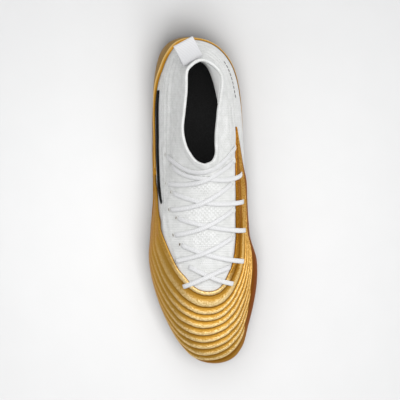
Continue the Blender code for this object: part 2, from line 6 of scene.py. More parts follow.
import bmesh
import bpy
import numpy as np
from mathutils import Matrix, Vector

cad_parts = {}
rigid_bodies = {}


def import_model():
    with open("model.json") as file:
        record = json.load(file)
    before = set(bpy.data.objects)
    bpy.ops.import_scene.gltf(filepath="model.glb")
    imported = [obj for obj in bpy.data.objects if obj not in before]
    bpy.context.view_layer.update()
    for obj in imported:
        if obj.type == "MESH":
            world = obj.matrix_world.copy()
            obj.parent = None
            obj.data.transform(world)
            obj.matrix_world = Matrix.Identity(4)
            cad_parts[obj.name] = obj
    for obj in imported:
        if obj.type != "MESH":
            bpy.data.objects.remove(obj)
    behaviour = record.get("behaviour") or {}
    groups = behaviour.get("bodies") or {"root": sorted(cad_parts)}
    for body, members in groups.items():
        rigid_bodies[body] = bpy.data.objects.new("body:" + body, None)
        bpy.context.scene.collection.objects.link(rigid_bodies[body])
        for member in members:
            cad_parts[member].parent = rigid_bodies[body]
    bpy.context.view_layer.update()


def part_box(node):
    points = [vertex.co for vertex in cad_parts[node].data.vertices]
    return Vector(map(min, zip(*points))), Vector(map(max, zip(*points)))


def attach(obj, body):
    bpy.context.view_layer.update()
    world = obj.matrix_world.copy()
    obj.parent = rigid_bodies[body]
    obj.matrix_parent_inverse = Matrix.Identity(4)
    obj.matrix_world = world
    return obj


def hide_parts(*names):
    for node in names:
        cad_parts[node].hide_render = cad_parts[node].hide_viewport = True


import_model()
print("frame loaded")

# Driving sizes in metres, the same ones that the solids have
shoe = {
    "length": 0.300,
    "ballWidth": 0.098,
    "collarHeight": 0.098,
    "studHeight": 0.0125,
    "plateThickness": 0.0034,
    "toeSpring": 0.009,
    "archRise": 0.005,
    "wall": 0.0022,
    "clearance": 0.0003,
    "laminateGap": 0.0005,  # between the knit and what is bonded on it
    "plateGap": 0.0006,  # under the skin and the counter
}
halfLength = shoe["length"] / 2
halfBall = shoe["ballWidth"] / 2
featherHeight = shoe["studHeight"] + shoe["plateThickness"]
normalStep = 0.004
drapeRounds = 24


def table(columns, *rows):
    line = namedtuple("line", columns)
    return [line(*row) for row in rows]


# Plan outline of the last from toe (-1) to heel (1), in shares of half the ball width
outlineRows = table(
    "station midline fullness",
    (-1.00, 0.270, 1.500),
    (-0.91, 0.245, 1.260),
    (-0.76, 0.170, 1.140),
    (-0.54, 0.105, 1.125),
    (-0.39, 0.062, 1.088),
    (-0.20, -0.004, 0.935),
    (0.05, 0.008, 0.858),
    (0.34, -0.018, 0.900),
    (0.60, -0.045, 1.035),
    (0.80, -0.082, 1.230),
    (0.92, -0.145, 1.440),
    (1.00, -0.200, 1.700),
)

# Top of the plate along the shoe: shares of the toe spring and of the arch rise
plateRows = table(
    "station spring arch",
    (-1.00, 1.00, 0.00),
    (-0.80, 0.42, 0.00),
    (-0.60, 0.08, 0.00),
    (-0.40, 0.00, 0.00),
    (-0.15, 0.00, 0.45),
    (0.10, 0.00, 1.00),
    (0.35, 0.00, 0.80),
    (0.62, 0.00, 0.25),
    (1.00, 0.00, 0.20),
)

# Level curves of the last, feather line (0) to collar rim (1): ends along the shoe, heights, widths at four
# places, blend to an ellipse, how much of the plate's rise is kept, and lean
levelRows = table(
    "level nose back zNose zSide zBack toe ball waist heel oval follow sway",
    (0.00, -0.972, 0.966, 0.000, 0.000, 0.000, 0.930, 0.935, 0.920, 0.900, 0.00, 1.00, 0.000),
    (0.08, -0.990, 0.982, 0.075, 0.085, 0.085, 0.960, 0.965, 0.955, 0.945, 0.00, 0.97, 0.000),
    (0.17, -0.988, 0.988, 0.165, 0.185, 0.195, 0.955, 0.970, 0.970, 0.955, 0.00, 0.85, 0.000),
    (0.27, -0.958, 0.986, 0.250, 0.290, 0.310, 0.930, 0.940, 0.940, 0.940, 0.05, 0.65, 0.000),
    (0.38, -0.875, 0.978, 0.345, 0.390, 0.420, 0.870, 0.850, 0.865, 0.895, 0.15, 0.42, 0.005),
    (0.49, -0.700, 0.959, 0.450, 0.485, 0.525, 0.750, 0.760, 0.775, 0.830, 0.30, 0.22, 0.010),
    (0.60, -0.480, 0.932, 0.560, 0.580, 0.630, 0.680, 0.675, 0.680, 0.770, 0.50, 0.08, 0.018),
    (0.71, -0.240, 0.902, 0.670, 0.675, 0.735, 0.630, 0.600, 0.595, 0.715, 0.75, 0.00, 0.028),
    (0.82, -0.010, 0.873, 0.790, 0.775, 0.835, 0.560, 0.530, 0.510, 0.620, 0.93, 0.00, 0.040),
    (0.92, 0.152, 0.851, 0.915, 0.865, 0.925, 0.490, 0.450, 0.430, 0.530, 1.00, 0.00, 0.048),
    (1.00, 0.216, 0.845, 1.000, 0.940, 0.985, 0.450, 0.370, 0.350, 0.450, 1.00, 0.00, 0.055),
)
levelStations = ("heel", "waist", "ball", "toe")

# Edge of the plate over the outline's half width
edgeRows = table(
    "station lateral medial",
    (-1.00, 0.985, 1.000),
    (-0.75, 0.975, 0.990),
    (-0.50, 0.975, 0.970),
    (-0.15, 1.005, 0.965),
    (0.10, 1.030, 0.970),
    (0.40, 1.020, 0.975),
    (0.70, 0.990, 0.985),
    (1.00, 0.975, 0.985),
)
plateNose = -0.988
plateBack = 0.982


def column(rows, name, share):  # smooth curve through one named column, without overshoot
    x = np.array([row[0] for row in rows])
    y = np.array([getattr(row, name) for row in rows])
    share = np.clip(np.asarray(share, dtype=float), x[0], x[-1])
    steps = np.diff(x)
    slopes = np.diff(y) / steps
    tangents = np.empty_like(y)
    tangents[0], tangents[-1] = slopes[0], slopes[-1]
    before, after = slopes[:-1], slopes[1:]
    same = before * after > 0
    tangents[1:-1] = np.where(same, 2 * before * after / np.where(same, before + after, 1), 0)
    i = np.clip(np.searchsorted(x, share, side="right") - 1, 0, len(steps) - 1)
    u = (share - x[i]) / steps[i]
    return (
        y[i] * (1 + 2 * u) * (1 - u) ** 2
        + tangents[i] * steps[i] * u * (1 - u) ** 2
        + y[i + 1] * u**2 * (3 - 2 * u)
        + tangents[i + 1] * steps[i] * u**2 * (u - 1)
    )


def plateRise(y):
    station = np.asarray(y) / halfLength
    spring = column(plateRows, "spring", station)
    return shoe["toeSpring"] * spring + shoe["archRise"] * column(plateRows, "arch", station)


def outline(y):
    station = np.asarray(y) / halfLength
    midline = column(outlineRows, "midline", station) * halfBall
    return midline, column(outlineRows, "fullness", station) * halfBall


def lastPoint(turn, level):  # turn: heel 0, medial waist 0.5, toe 1, lateral negative
    turn, level = np.broadcast_arrays(np.asarray(turn, dtype=float), np.asarray(level, dtype=float))
    value = {name: column(levelRows, name, level) for name in levelRows[0]._fields[1:]}
    angle = turn * pi
    along = np.cos(angle)
    y = halfLength * ((value["back"] + value["nose"]) / 2 + (value["back"] - value["nose"]) / 2 * along)
    spans = len(levelStations) - 1
    place = (1 - along) / 2 * spans
    widths = np.stack([value[name] for name in levelStations])
    seat = np.clip(place.astype(int), 0, spans - 1)
    part = place - seat
    low = np.take_along_axis(widths, seat[None], 0)[0]
    high = np.take_along_axis(widths, seat[None] + 1, 0)[0]
    share = low + (high - low) * part * part * (3 - 2 * part)
    fullness = outline(halfLength * along)[1]
    fullness = fullness + (halfBall - fullness) * value["oval"]
    sway = 2 * value["sway"] * halfBall * np.abs(np.sin(angle)) * along
    x = outline(y)[0] + sway + share * fullness * np.sin(angle)
    nose, back = np.clip(-along, 0, 1) ** 2, np.clip(along, 0, 1) ** 2
    height = value["zSide"] * (1 - nose - back) + value["zNose"] * nose + value["zBack"] * back
    z = featherHeight + shoe["collarHeight"] * height + value["follow"] * plateRise(y)
    return np.stack([x, y, z], axis=-1)


def lastNormal(turn, level):
    turn, level = np.broadcast_arrays(np.asarray(turn, dtype=float), np.asarray(level, dtype=float))
    low, high = np.clip(level - normalStep, 0, 1), np.clip(level + normalStep, 0, 1)
    across = lastPoint(turn + normalStep, level) - lastPoint(turn - normalStep, level)
    normal = -np.cross(across, lastPoint(turn, high) - lastPoint(turn, low))
    return normal / np.linalg.norm(normal, axis=-1, keepdims=True)


def outside(turn, level, distance):  # point at a distance out from the last
    turn, level = np.broadcast_arrays(np.asarray(turn, dtype=float), np.asarray(level, dtype=float))
    return lastPoint(turn, level) + lastNormal(turn, level) * np.asarray(distance)[..., None]


def overPlate(points):  # nothing that is laid over the upper reaches into the plate
    floor = featherHeight + plateRise(points[..., 1]) + shoe["plateGap"]
    points[..., 2] = np.maximum(points[..., 2], floor)
    return points


def drape(x, y):  # turn and level of the last's top side over places of the plan
    x, y = np.asarray(x, dtype=float), np.asarray(y, dtype=float)
    low, high = np.zeros(x.shape), np.ones(x.shape)
    for _ in range(drapeRounds):
        middle = (low + high) / 2
        nose = column(levelRows, "nose", middle) * halfLength
        back = column(levelRows, "back", middle) * halfLength
        turn = np.arccos(np.clip((2 * y - nose - back) / (back - nose), -1, 1)) / pi
        left, right = lastPoint(-turn, middle)[..., 0], lastPoint(turn, middle)[..., 0]
        inside = (y > nose) & (y < back) & (x > left) & (x < right)
        low, high = np.where(inside, middle, low), np.where(inside, high, middle)
    return np.where(x > (left + right) / 2, turn, -turn), middle


def plateRing(turn, inset):  # the plate's edge in plan
    angle = turn * pi
    along = np.cos(angle)
    y = halfLength * ((plateBack + plateNose) / 2 + (plateBack - plateNose) / 2 * along)
    lateral, medial = column(edgeRows, "lateral", along), column(edgeRows, "medial", along)
    half = np.where(np.sin(angle) > 0, medial, lateral) * outline(halfLength * along)[1] - inset
    return np.stack([outline(y)[0] + half * np.sin(angle), y - inset * along], axis=-1)


def smooth(low, high, value):  # 0 below low, 1 above high, soft between
    share = np.clip((np.asarray(value, dtype=float) - low) / (high - low), 0, 1)
    return share * share * (3 - 2 * share)


# The solids stand centred on the origin: the plate's box gives how far the last has moved
plateLow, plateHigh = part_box("sole_plate")
plateTurns = np.linspace(0, 2, 64, endpoint=False)
platePlan = plateRing(plateTurns, 0.0)
shift = np.array([
    (plateLow[0] + plateHigh[0]) / 2 - (platePlan[:, 0].min() + platePlan[:, 0].max()) / 2,
    (plateLow[1] + plateHigh[1]) / 2 - (platePlan[:, 1].min() + platePlan[:, 1].max()) / 2,
    0.0,
])


def sideOf(turn):  # turn from -1 to 1, lateral side negative
    return (np.asarray(turn) + 1) % 2 - 1


def gridFaces(rows, columns, aroundRows, aroundColumns):
    i = np.arange(rows if aroundRows else rows - 1)
    j = np.arange(columns if aroundColumns else columns - 1)
    i, j = np.meshgrid(i, j, indexing="ij")
    k, m = (i + 1) % rows, (j + 1) % columns
    return np.stack([i * columns + j, i * columns + m, k * columns + m, k * columns + j], -1).reshape(-1, 4)


def tubeFaces(rows, columns):  # closed round its rows, with a cap at both ends
    caps = [tuple(i * columns + end for i in range(rows)) for end in (0, columns - 1)]
    return [*gridFaces(rows, columns, True, False), *caps]


def bowlFaces(rows, count):  # closed round its columns, with strips across the first ring and the last
    faces = [*gridFaces(rows, count, False, True)]
    half = count // 2
    for start in (0, (rows - 1) * count):
        for j in range(1, half - 1):
            faces.append((start + j, start + j + 1, start + count - j - 1, start + count - j))
        faces.append((start, start + 1, start + count - 1))
        faces.append((start + half, start + half - 1, start + half + 1))
    return faces


def gridCloth(cloth):  # cloth coordinates at the corners of a tube's faces, with no jump at the seam
    rows, columns = cloth.shape[0] - 1, cloth.shape[1] - 1
    i, j = np.meshgrid(np.arange(rows), np.arange(columns), indexing="ij")
    return np.stack([cloth[i, j], cloth[i, j + 1], cloth[i + 1, j + 1], cloth[i + 1, j]], -2).reshape(-1, 2)


def makePiece(name, points, faces, finishes, marks=None, cloth=None, finishOf=None, sharp=radians(50)):
    mesh = bpy.data.meshes.new(name)
    points = np.asarray(points).reshape(-1, 3) + shift
    mesh.from_pydata(points.tolist(), [], [tuple(face) for face in faces])
    for finish in finishes:
        mesh.materials.append(finish)
    if finishOf is not None:
        mesh.polygons.foreach_set("material_index", np.asarray(finishOf, dtype=np.int32))
    for mark, values in (marks or {}).items():
        layer = mesh.attributes.new(mark, "FLOAT", "POINT")
        layer.data.foreach_set("value", np.asarray(values, dtype=np.float32).ravel())
    if cloth is not None:
        layer = mesh.uv_layers.new(name="cloth")
        spare = len(mesh.loops) - len(cloth)
        corners = np.vstack([cloth, np.zeros((spare, 2))]) if spare else cloth
        layer.data.foreach_set("uv", np.asarray(corners, dtype=np.float32).ravel())
    work = bmesh.new()
    work.from_mesh(mesh)
    bmesh.ops.recalc_face_normals(work, faces=work.faces)
    work.to_mesh(mesh)
    work.free()
    mesh.shade_smooth()
    mesh.set_sharp_from_angle(angle=sharp)
    piece = bpy.data.objects.new(name, mesh)
    bpy.context.scene.collection.objects.link(piece)
    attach(piece, "root")
    return piece


def joinParts(parts):  # vertices and faces of several small meshes as one
    points, faces, start = [], [], 0
    for vertices, own in parts:
        points.append(np.asarray(vertices).reshape(-1, 3))
        faces += [tuple(int(i) + start for i in face) for face in own]
        start += len(points[-1])
    return np.concatenate(points), faces


# Materials

def hexColour(text):  # sRGB hex to linear
    parts = [int(text[i:i + 2], 16) / 255 for i in (1, 3, 5)]
    return (*[p / 12.92 if p <= 0.04045 else ((p + 0.055) / 1.055) ** 2.4 for p in parts], 1.0)


def setInputs(tree, node, inputs):  # an input is a value, a socket, or a node for its first output
    for name, value in inputs.items():
        if isinstance(value, bpy.types.Node):
            value = value.outputs[0]
        if isinstance(value, bpy.types.NodeSocket):
            tree.links.new(value, node.inputs[name])
        else:
            node.inputs[name].default_value = value


def addNode(tree, kind, inputs, **settings):
    node = tree.nodes.new("ShaderNode" + kind)
    for name, value in settings.items():
        setattr(node, name, value)
    setInputs(tree, node, inputs)
    return node


def startMaterial(name, inputs):
    material = bpy.data.materials.new(name)
    material.use_nodes = True
    tree = material.node_tree
    shader = tree.nodes["Principled BSDF"]
    setInputs(tree, shader, inputs)
    return material, tree, shader


# Polyester flat knit: white filament yarn, engineered on a flat bed, soft and matt with a faint fibre sheen
knitLook = {
    "yarn": "#EBEBEA",
    "shade": "#D2D3D0",
    "stitch": 0.0018,  # real stitches are about 1.1 mm, drawn coarser so that they show
    "stitchDepth": 0.00012,
    "dotPitch": 0.0040,  # twice the distance of two rows of raised dots, which are some 2 mm apart
    "dotHeight": 0.00022,
}


def polyesterKnit():
    uniform = {"Roughness": 0.88, "Sheen Weight": 0.15, "Sheen Roughness": 0.5}
    material, tree, shader = startMaterial("polyester knit, white", uniform)
    perStitch, perDot = 2 * pi / knitLook["stitch"], 2 * pi / knitLook["dotPitch"]
    place = addNode(tree, "TexCoord", {}).outputs["Object"]
    plan = addNode(tree, "SeparateXYZ", {0: place})
    # Wales run down over the sides, courses along the shoe
    outward = addNode(tree, "Math", {0: plan.outputs[0]}, operation="ABSOLUTE")
    wale = addNode(tree, "Math", {0: outward, 1: plan.outputs[2]}, operation="SUBTRACT")
    wale = addNode(tree, "Math", {0: wale, 1: perStitch}, operation="MULTIPLY")
    columns = addNode(tree, "Math", {0: wale}, operation="COSINE")
    course = addNode(tree, "Math", {0: plan.outputs[1], 1: perStitch * 1.15}, operation="MULTIPLY")
    course = addNode(tree, "Math", {0: columns, 1: 1.3, 2: course}, operation="MULTIPLY_ADD")
    loops = addNode(tree, "Math", {0: course}, operation="SINE")
    stitches = addNode(tree, "Math", {0: columns, 1: 0.7, 2: loops}, operation="MULTIPLY_ADD")
    # Stray fibres are finer than the 1.1 mm of the fuzz, drawn coarser so that they show
    fuzz = addNode(tree, "TexNoise", {"Vector": place, "Scale": 900.0, "Detail": 3.0, "Roughness": 0.6})
    mottle = addNode(tree, "TexNoise", {"Vector": place, "Scale": 150.0, "Detail": 4.0, "Roughness": 0.6})
    # Raised dots in a staggered lattice, only inside the fields between the crossings
    dotX = addNode(tree, "Math", {0: plan.outputs[0], 1: perDot}, operation="MULTIPLY")
    dotY = addNode(tree, "Math", {0: plan.outputs[1], 1: perDot}, operation="MULTIPLY")
    dotX = addNode(tree, "Math", {0: dotX}, operation="COSINE")
    dotY = addNode(tree, "Math", {0: dotY}, operation="COSINE")
    dots = addNode(tree, "Math", {0: dotX, 1: dotY}, operation="MULTIPLY")
    dots = addNode(tree, "MapRange", {"Value": dots, "From Min": 0.05, "From Max": 0.75})
    field = addNode(tree, "Attribute", {}, attribute_name="dots").outputs["Fac"]
    dots = addNode(tree, "Math", {0: dots, 1: field}, operation="MULTIPLY")
    light = addNode(tree, "Math", {0: stitches, 1: 0.10, 2: mottle}, operation="MULTIPLY_ADD")
    light = addNode(tree, "Math", {0: dots, 1: 0.6, 2: light}, operation="MULTIPLY_ADD")
    light = addNode(tree, "MapRange", {"Value": light, "From Min": 0.25, "From Max": 0.85})
    shades = {6: hexColour(knitLook["shade"]), 7: hexColour(knitLook["yarn"])}
    colour = addNode(tree, "Mix", {0: light, **shades}, data_type="RGBA")
    height = addNode(tree, "Math", {0: fuzz, 1: 2.2, 2: stitches}, operation="MULTIPLY_ADD")
    rough = addNode(tree, "Bump", {"Height": height, "Distance": knitLook["stitchDepth"], "Strength": 0.8})
    relief = {"Height": dots, "Distance": knitLook["dotHeight"], "Strength": 1.0}
    raised = addNode(tree, "Bump", {**relief, "Normal": rough})
    setInputs(tree, shader, {"Base Color": colour.outputs[2], "Normal": raised})
    return material


# Thermoplastic polyurethane film with gold pigment, heat moulded in a sand-blasted tool: granular crests
# that glitter, partly from a grain in the roughness and partly from painted glints, with a painted highlight
# on the crests, smooth grooves in painted brown shade, a satin look on the lateral side, where the painted
# highlight and shade are weaker, and painted dark ochre shade on the medial side
skinLook = {
    # Colour ramp of the ribs: a painted highlight on the crests, painted shade in the grooves
    "crest": "#F3D9A0",
    "middle": "#B08536",
    "groove": "#875505",
    # Painted shade of the medial side, which gets little light: a dark ochre tint
    "ochre": "#E8C458",  # multiplied over the others
    "edge": "#D9A548",  # what it turns to at a grazing angle
    "grain": 0.0010,  # blasting grit is nearer 0.3 mm, drawn coarser so that it shows
    "grainDepth": 0.00045,
    # How far the grains' painted glints lift the colour and their painted pit shade sinks it
    "paintedGlint": (-0.34, 0.28),  # how far grains sink or lift the colour
}


def goldFilm():
    uniform = {"Specular Tint": hexColour(skinLook["edge"])}
    material, tree, shader = startMaterial("gold TPU film, moulded", uniform)
    place = addNode(tree, "TexCoord", {}).outputs["Object"]
    crest = addNode(tree, "Attribute", {}, attribute_name="crest").outputs["Fac"]
    gritAndGlint = addNode(tree, "Attribute", {}, attribute_name="gritAndGlint").outputs["Fac"]
    ochre = addNode(tree, "Attribute", {}, attribute_name="ochre").outputs["Fac"]
    fine = {"Scale": 1 / skinLook["grain"], "Detail": 3.0, "Roughness": 0.7}
    grain = addNode(tree, "TexNoise", {"Vector": place, **fine})
    # Painted glints of the grains lift the colour and painted shade in their pits sinks it, round the rib's
    # own level
    low, high = skinLook["paintedGlint"]
    spread = {"From Min": 0.42, "From Max": 0.60, "To Min": low, "To Max": high}
    paintedGlint = addNode(tree, "MapRange", {"Value": grain, **spread})
    level = addNode(tree, "Math", {0: paintedGlint, 1: gritAndGlint, 2: crest}, operation="MULTIPLY_ADD")
    shades = addNode(tree, "ValToRGB", {0: level})
    stops = shades.color_ramp.elements
    stops[0].color, stops[1].color = hexColour(skinLook["groove"]), hexColour(skinLook["crest"])
    stops.new(0.5).color = hexColour(skinLook["middle"])
    # Painted shade: the dark ochre tint is multiplied in on the medial side, where the film is also made more
    # metallic
    shadeTint = {6: (1, 1, 1, 1), 7: hexColour(skinLook["ochre"])}
    shadeTint = addNode(tree, "Mix", {0: ochre, **shadeTint}, data_type="RGBA").outputs[2]
    colour = addNode(tree, "Mix", {0: 1.0, 6: shades, 7: shadeTint}, data_type="RGBA", blend_type="MULTIPLY")
    metal = addNode(tree, "MapRange", {"Value": ochre, "To Min": 0.60, "To Max": 0.92})
    spread = {"From Min": 0.4, "From Max": 0.62, "To Min": 0.50, "To Max": 0.34}
    gloss = addNode(tree, "MapRange", {"Value": grain, **spread})
    depth = addNode(tree, "MapRange", {"Value": gritAndGlint, "To Min": 0.12, "To Max": 1.0})
    height = addNode(tree, "Math", {0: grain, 1: depth}, operation="MULTIPLY")
    bump = addNode(tree, "Bump", {"Height": height, "Distance": skinLook["grainDepth"], "Strength": 0.9})
    setInputs(tree, shader, {"Base Color": colour.outputs[2], "Metallic": metal})
    setInputs(tree, shader, {"Roughness": gloss, "Normal": bump})
    return material


# Moulded thermoplastic polyurethane (TPU) from a spark-eroded tool: satin with a soft moulded grain, a little
# cloudy from use. The tool's grain is 0.2 to 0.3 mm, drawn coarser so that it shows.
mouldedLooks = table(
    "name colour cloudy grain metallic roughness edge",
    ("gold TPU, injection moulded", "#A97B2C", "#7C5312", 0.0016, 0.5, 0.42, "#D9A548"),
    ("gold TPU stud, injection moulded", "#B98A38", "#8E6118", 0.0012, 0.5, 0.36, "#D9A548"),
    ("black TPU, extruded", "#070707", "#0E0D0D", 0.0011, 0.0, 0.80, "#303030"),
)


def mouldedPlastic(look):
    uniform = {"Metallic": look.metallic, "Specular Tint": hexColour(look.edge)}
    material, tree, shader = startMaterial(look.name, uniform)
    place = addNode(tree, "TexCoord", {}).outputs["Object"]
    grain = addNode(tree, "TexNoise", {"Vector": place, "Scale": 1 / look.grain, "Detail": 2.0})
    cloud = addNode(tree, "TexNoise", {"Vector": place, "Scale": 70.0, "Detail": 5.0, "Roughness": 0.6})
    scuff = addNode(tree, "TexNoise", {"Vector": place, "Scale": 260.0, "Detail": 2.0, "Distortion": 1.5})
    share = addNode(tree, "MapRange", {"Value": cloud, "From Min": 0.35, "From Max": 0.7})
    shades = {6: hexColour(look.colour), 7: hexColour(look.cloudy)}
    colour = addNode(tree, "Mix", {0: share, **shades}, data_type="RGBA")
    wear = {"To Min": look.roughness - 0.06, "To Max": look.roughness + 0.1}
    gloss = addNode(tree, "MapRange", {"Value": scuff, "From Min": 0.3, "From Max": 0.7, **wear})
    bump = addNode(tree, "Bump", {"Height": grain, "Distance": 0.00012, "Strength": 0.7})
    setInputs(tree, shader, {"Base Color": colour.outputs[2], "Roughness": gloss, "Normal": bump})
    return material


# Heel cup: gold TPU sprayed matt outside, with a moulded slot and lip and a deeper inner slope; a dark line
# of painted shade lies in the slot and a painted highlight on the lip
counterLook = {"outer": "#94743C", "line": "#5E4216", "lip": "#E8C27A", "inner": "#B57F20"}
# The line colour is painted shade in the slot, the lip colour a painted highlight
counterBands = (  # shares of the cup's height
    (0.895, "outer"), (0.91, "line"), (0.925, "line"), (0.94, "lip"), (0.97, "lip"), (0.99, "inner")
)


def heelCupPlastic():
    uniform = {"Metallic": 0.4, "Specular Tint": hexColour(counterLook["lip"])}
    material, tree, shader = startMaterial("gold TPU, matt sprayed", uniform)
    place = addNode(tree, "TexCoord", {}).outputs["Object"]
    rise = addNode(tree, "Attribute", {}, attribute_name="rise").outputs["Fac"]
    cloud = addNode(tree, "TexNoise", {"Vector": place, "Scale": 85.0, "Detail": 4.0})
    grain = addNode(tree, "TexNoise", {"Vector": place, "Scale": 900.0, "Detail": 2.0})
    bands = addNode(tree, "ValToRGB", {0: rise})
    stops = bands.color_ramp.elements
    stops[0].color, stops[1].color = hexColour(counterLook["outer"]), hexColour(counterLook["inner"])
    for share, shade in counterBands:
        stops.new(share).color = hexColour(counterLook[shade])
    spread = {"From Min": 0.3, "From Max": 0.7, "To Min": 0.46, "To Max": 0.62}
    gloss = addNode(tree, "MapRange", {"Value": cloud, **spread})
    bump = addNode(tree, "Bump", {"Height": grain, "Distance": 0.0001, "Strength": 0.6})
    setInputs(tree, shader, {"Base Color": bands, "Roughness": gloss, "Normal": bump})
    return material


# Flat braided polyester lace: shiny filament in a herringbone braid, which repeats every 1.5 mm
laceLook = {"yarn": "#ECECEC", "shade": "#D2D2D3", "braid": 0.0015, "depth": 0.00018}


def braidedPolyester():
    uniform = {"Roughness": 0.7, "Sheen Weight": 0.15}
    material, tree, shader = startMaterial("polyester braid, white", uniform)
    perBraid = 2 * pi / laceLook["braid"]
    cloth = addNode(tree, "SeparateXYZ", {0: addNode(tree, "UVMap", {}, uv_map="cloth")})
    place = addNode(tree, "TexCoord", {}).outputs["Object"]
    fuzz = addNode(tree, "TexNoise", {"Vector": place, "Scale": 1100.0, "Detail": 2.0})
    away = addNode(tree, "Math", {0: cloth.outputs[1]}, operation="ABSOLUTE")
    away = addNode(tree, "Math", {0: away, 1: perBraid * 1.2}, operation="MULTIPLY")
    slant = addNode(tree, "Math", {0: cloth.outputs[0], 1: perBraid, 2: away}, operation="MULTIPLY_ADD")
    braid = addNode(tree, "Math", {0: slant}, operation="COSINE")
    share = addNode(tree, "MapRange", {"Value": braid, "From Min": -1.0, "From Max": 0.4})
    shades = {6: hexColour(laceLook["shade"]), 7: hexColour(laceLook["yarn"])}
    colour = addNode(tree, "Mix", {0: share, **shades}, data_type="RGBA")
    height = addNode(tree, "Math", {0: fuzz, 1: 1.0, 2: braid}, operation="MULTIPLY_ADD")
    bump = addNode(tree, "Bump", {"Height": height, "Distance": laceLook["depth"], "Strength": 0.8})
    setInputs(tree, shader, {"Base Color": colour.outputs[2], "Normal": bump})
    return material


# Woven polyester tape: fine twill lines across it, closed edges. Real lines are about 0.8 mm apart, drawn
# coarser so that they show.
webLook = {"yarn": "#D8D8D9", "shade": "#C6C6C8", "twill": 0.0012, "depth": 0.00012}


def wovenTape():
    uniform = {"Roughness": 0.72, "Sheen Weight": 0.2}
    material, tree, shader = startMaterial("polyester tape, twill woven", uniform)
    perLine = 2 * pi / webLook["twill"]
    cloth = addNode(tree, "SeparateXYZ", {0: addNode(tree, "UVMap", {}, uv_map="cloth")})
    drift = addNode(tree, "Math", {0: cloth.outputs[1], 1: perLine * 0.12}, operation="MULTIPLY")
    lines = {0: cloth.outputs[0], 1: perLine * 0.9, 2: drift}
    slant = addNode(tree, "Math", lines, operation="MULTIPLY_ADD")
    twill = addNode(tree, "Math", {0: slant}, operation="COSINE")
    share = addNode(tree, "MapRange", {"Value": twill, "From Min": -1.0, "From Max": 0.6})
    shades = {6: hexColour(webLook["shade"]), 7: hexColour(webLook["yarn"])}
    colour = addNode(tree, "Mix", {0: share, **shades}, data_type="RGBA")
    bump = addNode(tree, "Bump", {"Height": twill, "Distance": webLook["depth"], "Strength": 0.9})
    setInputs(tree, shader, {"Base Color": colour.outputs[2], "Normal": bump})
    return material


# Brushed cloth: a short nap that scatters the light, with lint or soft wear in it. The footbed's cover is
# black polyester over foam, the lining a white tricot. Nap is under 0.2 mm, drawn coarser so that it shows.
footbedLook = {"dark": "#0F0F0F", "light": "#1D1D1E", "nap": 0.0011, "cloud": 0.0011, "depth": 0.00025}
liningLook = {"dark": "#DADBDA", "light": "#EAEAE8", "nap": 0.0014, "cloud": 0.022, "depth": 0.0002}


def brushedTextile(name, look):
    uniform = {"Roughness": 0.94, "Sheen Weight": 0.08, "Sheen Roughness": 0.4}
    material, tree, shader = startMaterial(name, uniform)
    place = addNode(tree, "TexCoord", {}).outputs["Object"]
    nap = addNode(tree, "TexNoise", {"Vector": place, "Scale": 1 / look["nap"], "Detail": 3.0})
    cloud = addNode(tree, "TexNoise", {"Vector": place, "Scale": 1 / look["cloud"], "Detail": 3.0})
    share = addNode(tree, "MapRange", {"Value": cloud, "From Min": 0.35, "From Max": 0.7})
    shades = {6: hexColour(look["dark"]), 7: hexColour(look["light"])}
    colour = addNode(tree, "Mix", {0: share, **shades}, data_type="RGBA")
    bump = addNode(tree, "Bump", {"Height": nap, "Distance": look["depth"], "Strength": 0.7})
    setInputs(tree, shader, {"Base Color": colour.outputs[2], "Normal": bump})
    return material


# Bonded nylon thread: a hard round yarn with a dull shine. The last pair is no thread but the painted shade
# inside an eyelet, on a dark disc sunk in it.
threadAndShadeLooks = (("#2C2A27", "#4A4742"), ("#D2D2CF", "#E2E2DE"), ("#57473A", "#776758"))


def nylonThreadAndShade(dark, light):
    material, tree, shader = startMaterial("nylon thread and painted eyelet shade", {"Roughness": 0.6})
    place = addNode(tree, "TexCoord", {}).outputs["Object"]
    twist = addNode(tree, "TexNoise", {"Vector": place, "Scale": 1500.0, "Detail": 1.0})
    share = addNode(tree, "MapRange", {"Value": twist, "From Min": 0.35, "From Max": 0.65})
    colour = addNode(tree, "Mix", {0: share, 6: hexColour(dark), 7: hexColour(light)}, data_type="RGBA")
    setInputs(tree, shader, {"Base Color": colour.outputs[2]})
    return material


knitWhite = polyesterKnit()
goldSkin = goldFilm()
goldPlate, goldStud, blackPiping = (mouldedPlastic(look) for look in mouldedLooks)
goldCounter = heelCupPlastic()
laceWhite = braidedPolyester()
tapeWhite = wovenTape()
footbedBlack = brushedTextile("polyester, black brushed", footbedLook)
liningWhite = brushedTextile("polyester tricot, white brushed", liningLook)
# The third is the painted shade in the eyelet holes
threadDark, threadWhite, paintedHoleShade = (nylonThreadAndShade(*pair) for pair in threadAndShadeLooks)
print("materials ready")


# The knit upper

knit = {
    "columns": 384,
    "rows": 150,
    "lowRows": 24,  # of them below the level lowTop
    "lowTop": 0.3,
    "liningRows": 30,
    "rimSteps": 9,
    "rimOut": 0.0008,  # how far the rolled rim stands out
    "rimStart": 0.955,
    "collarRibs": 150,
    "collarRibLevels": (0.86, 0.90, 0.93),  # where the ribs begin, are full and fade
    "collarRibDepth": 0.00034,
    "rimRibs": 110,
    "rimRibDepth": 0.00022,
    "stayHeight": 0.0005,
    "stayWidth": 0.0016,
}

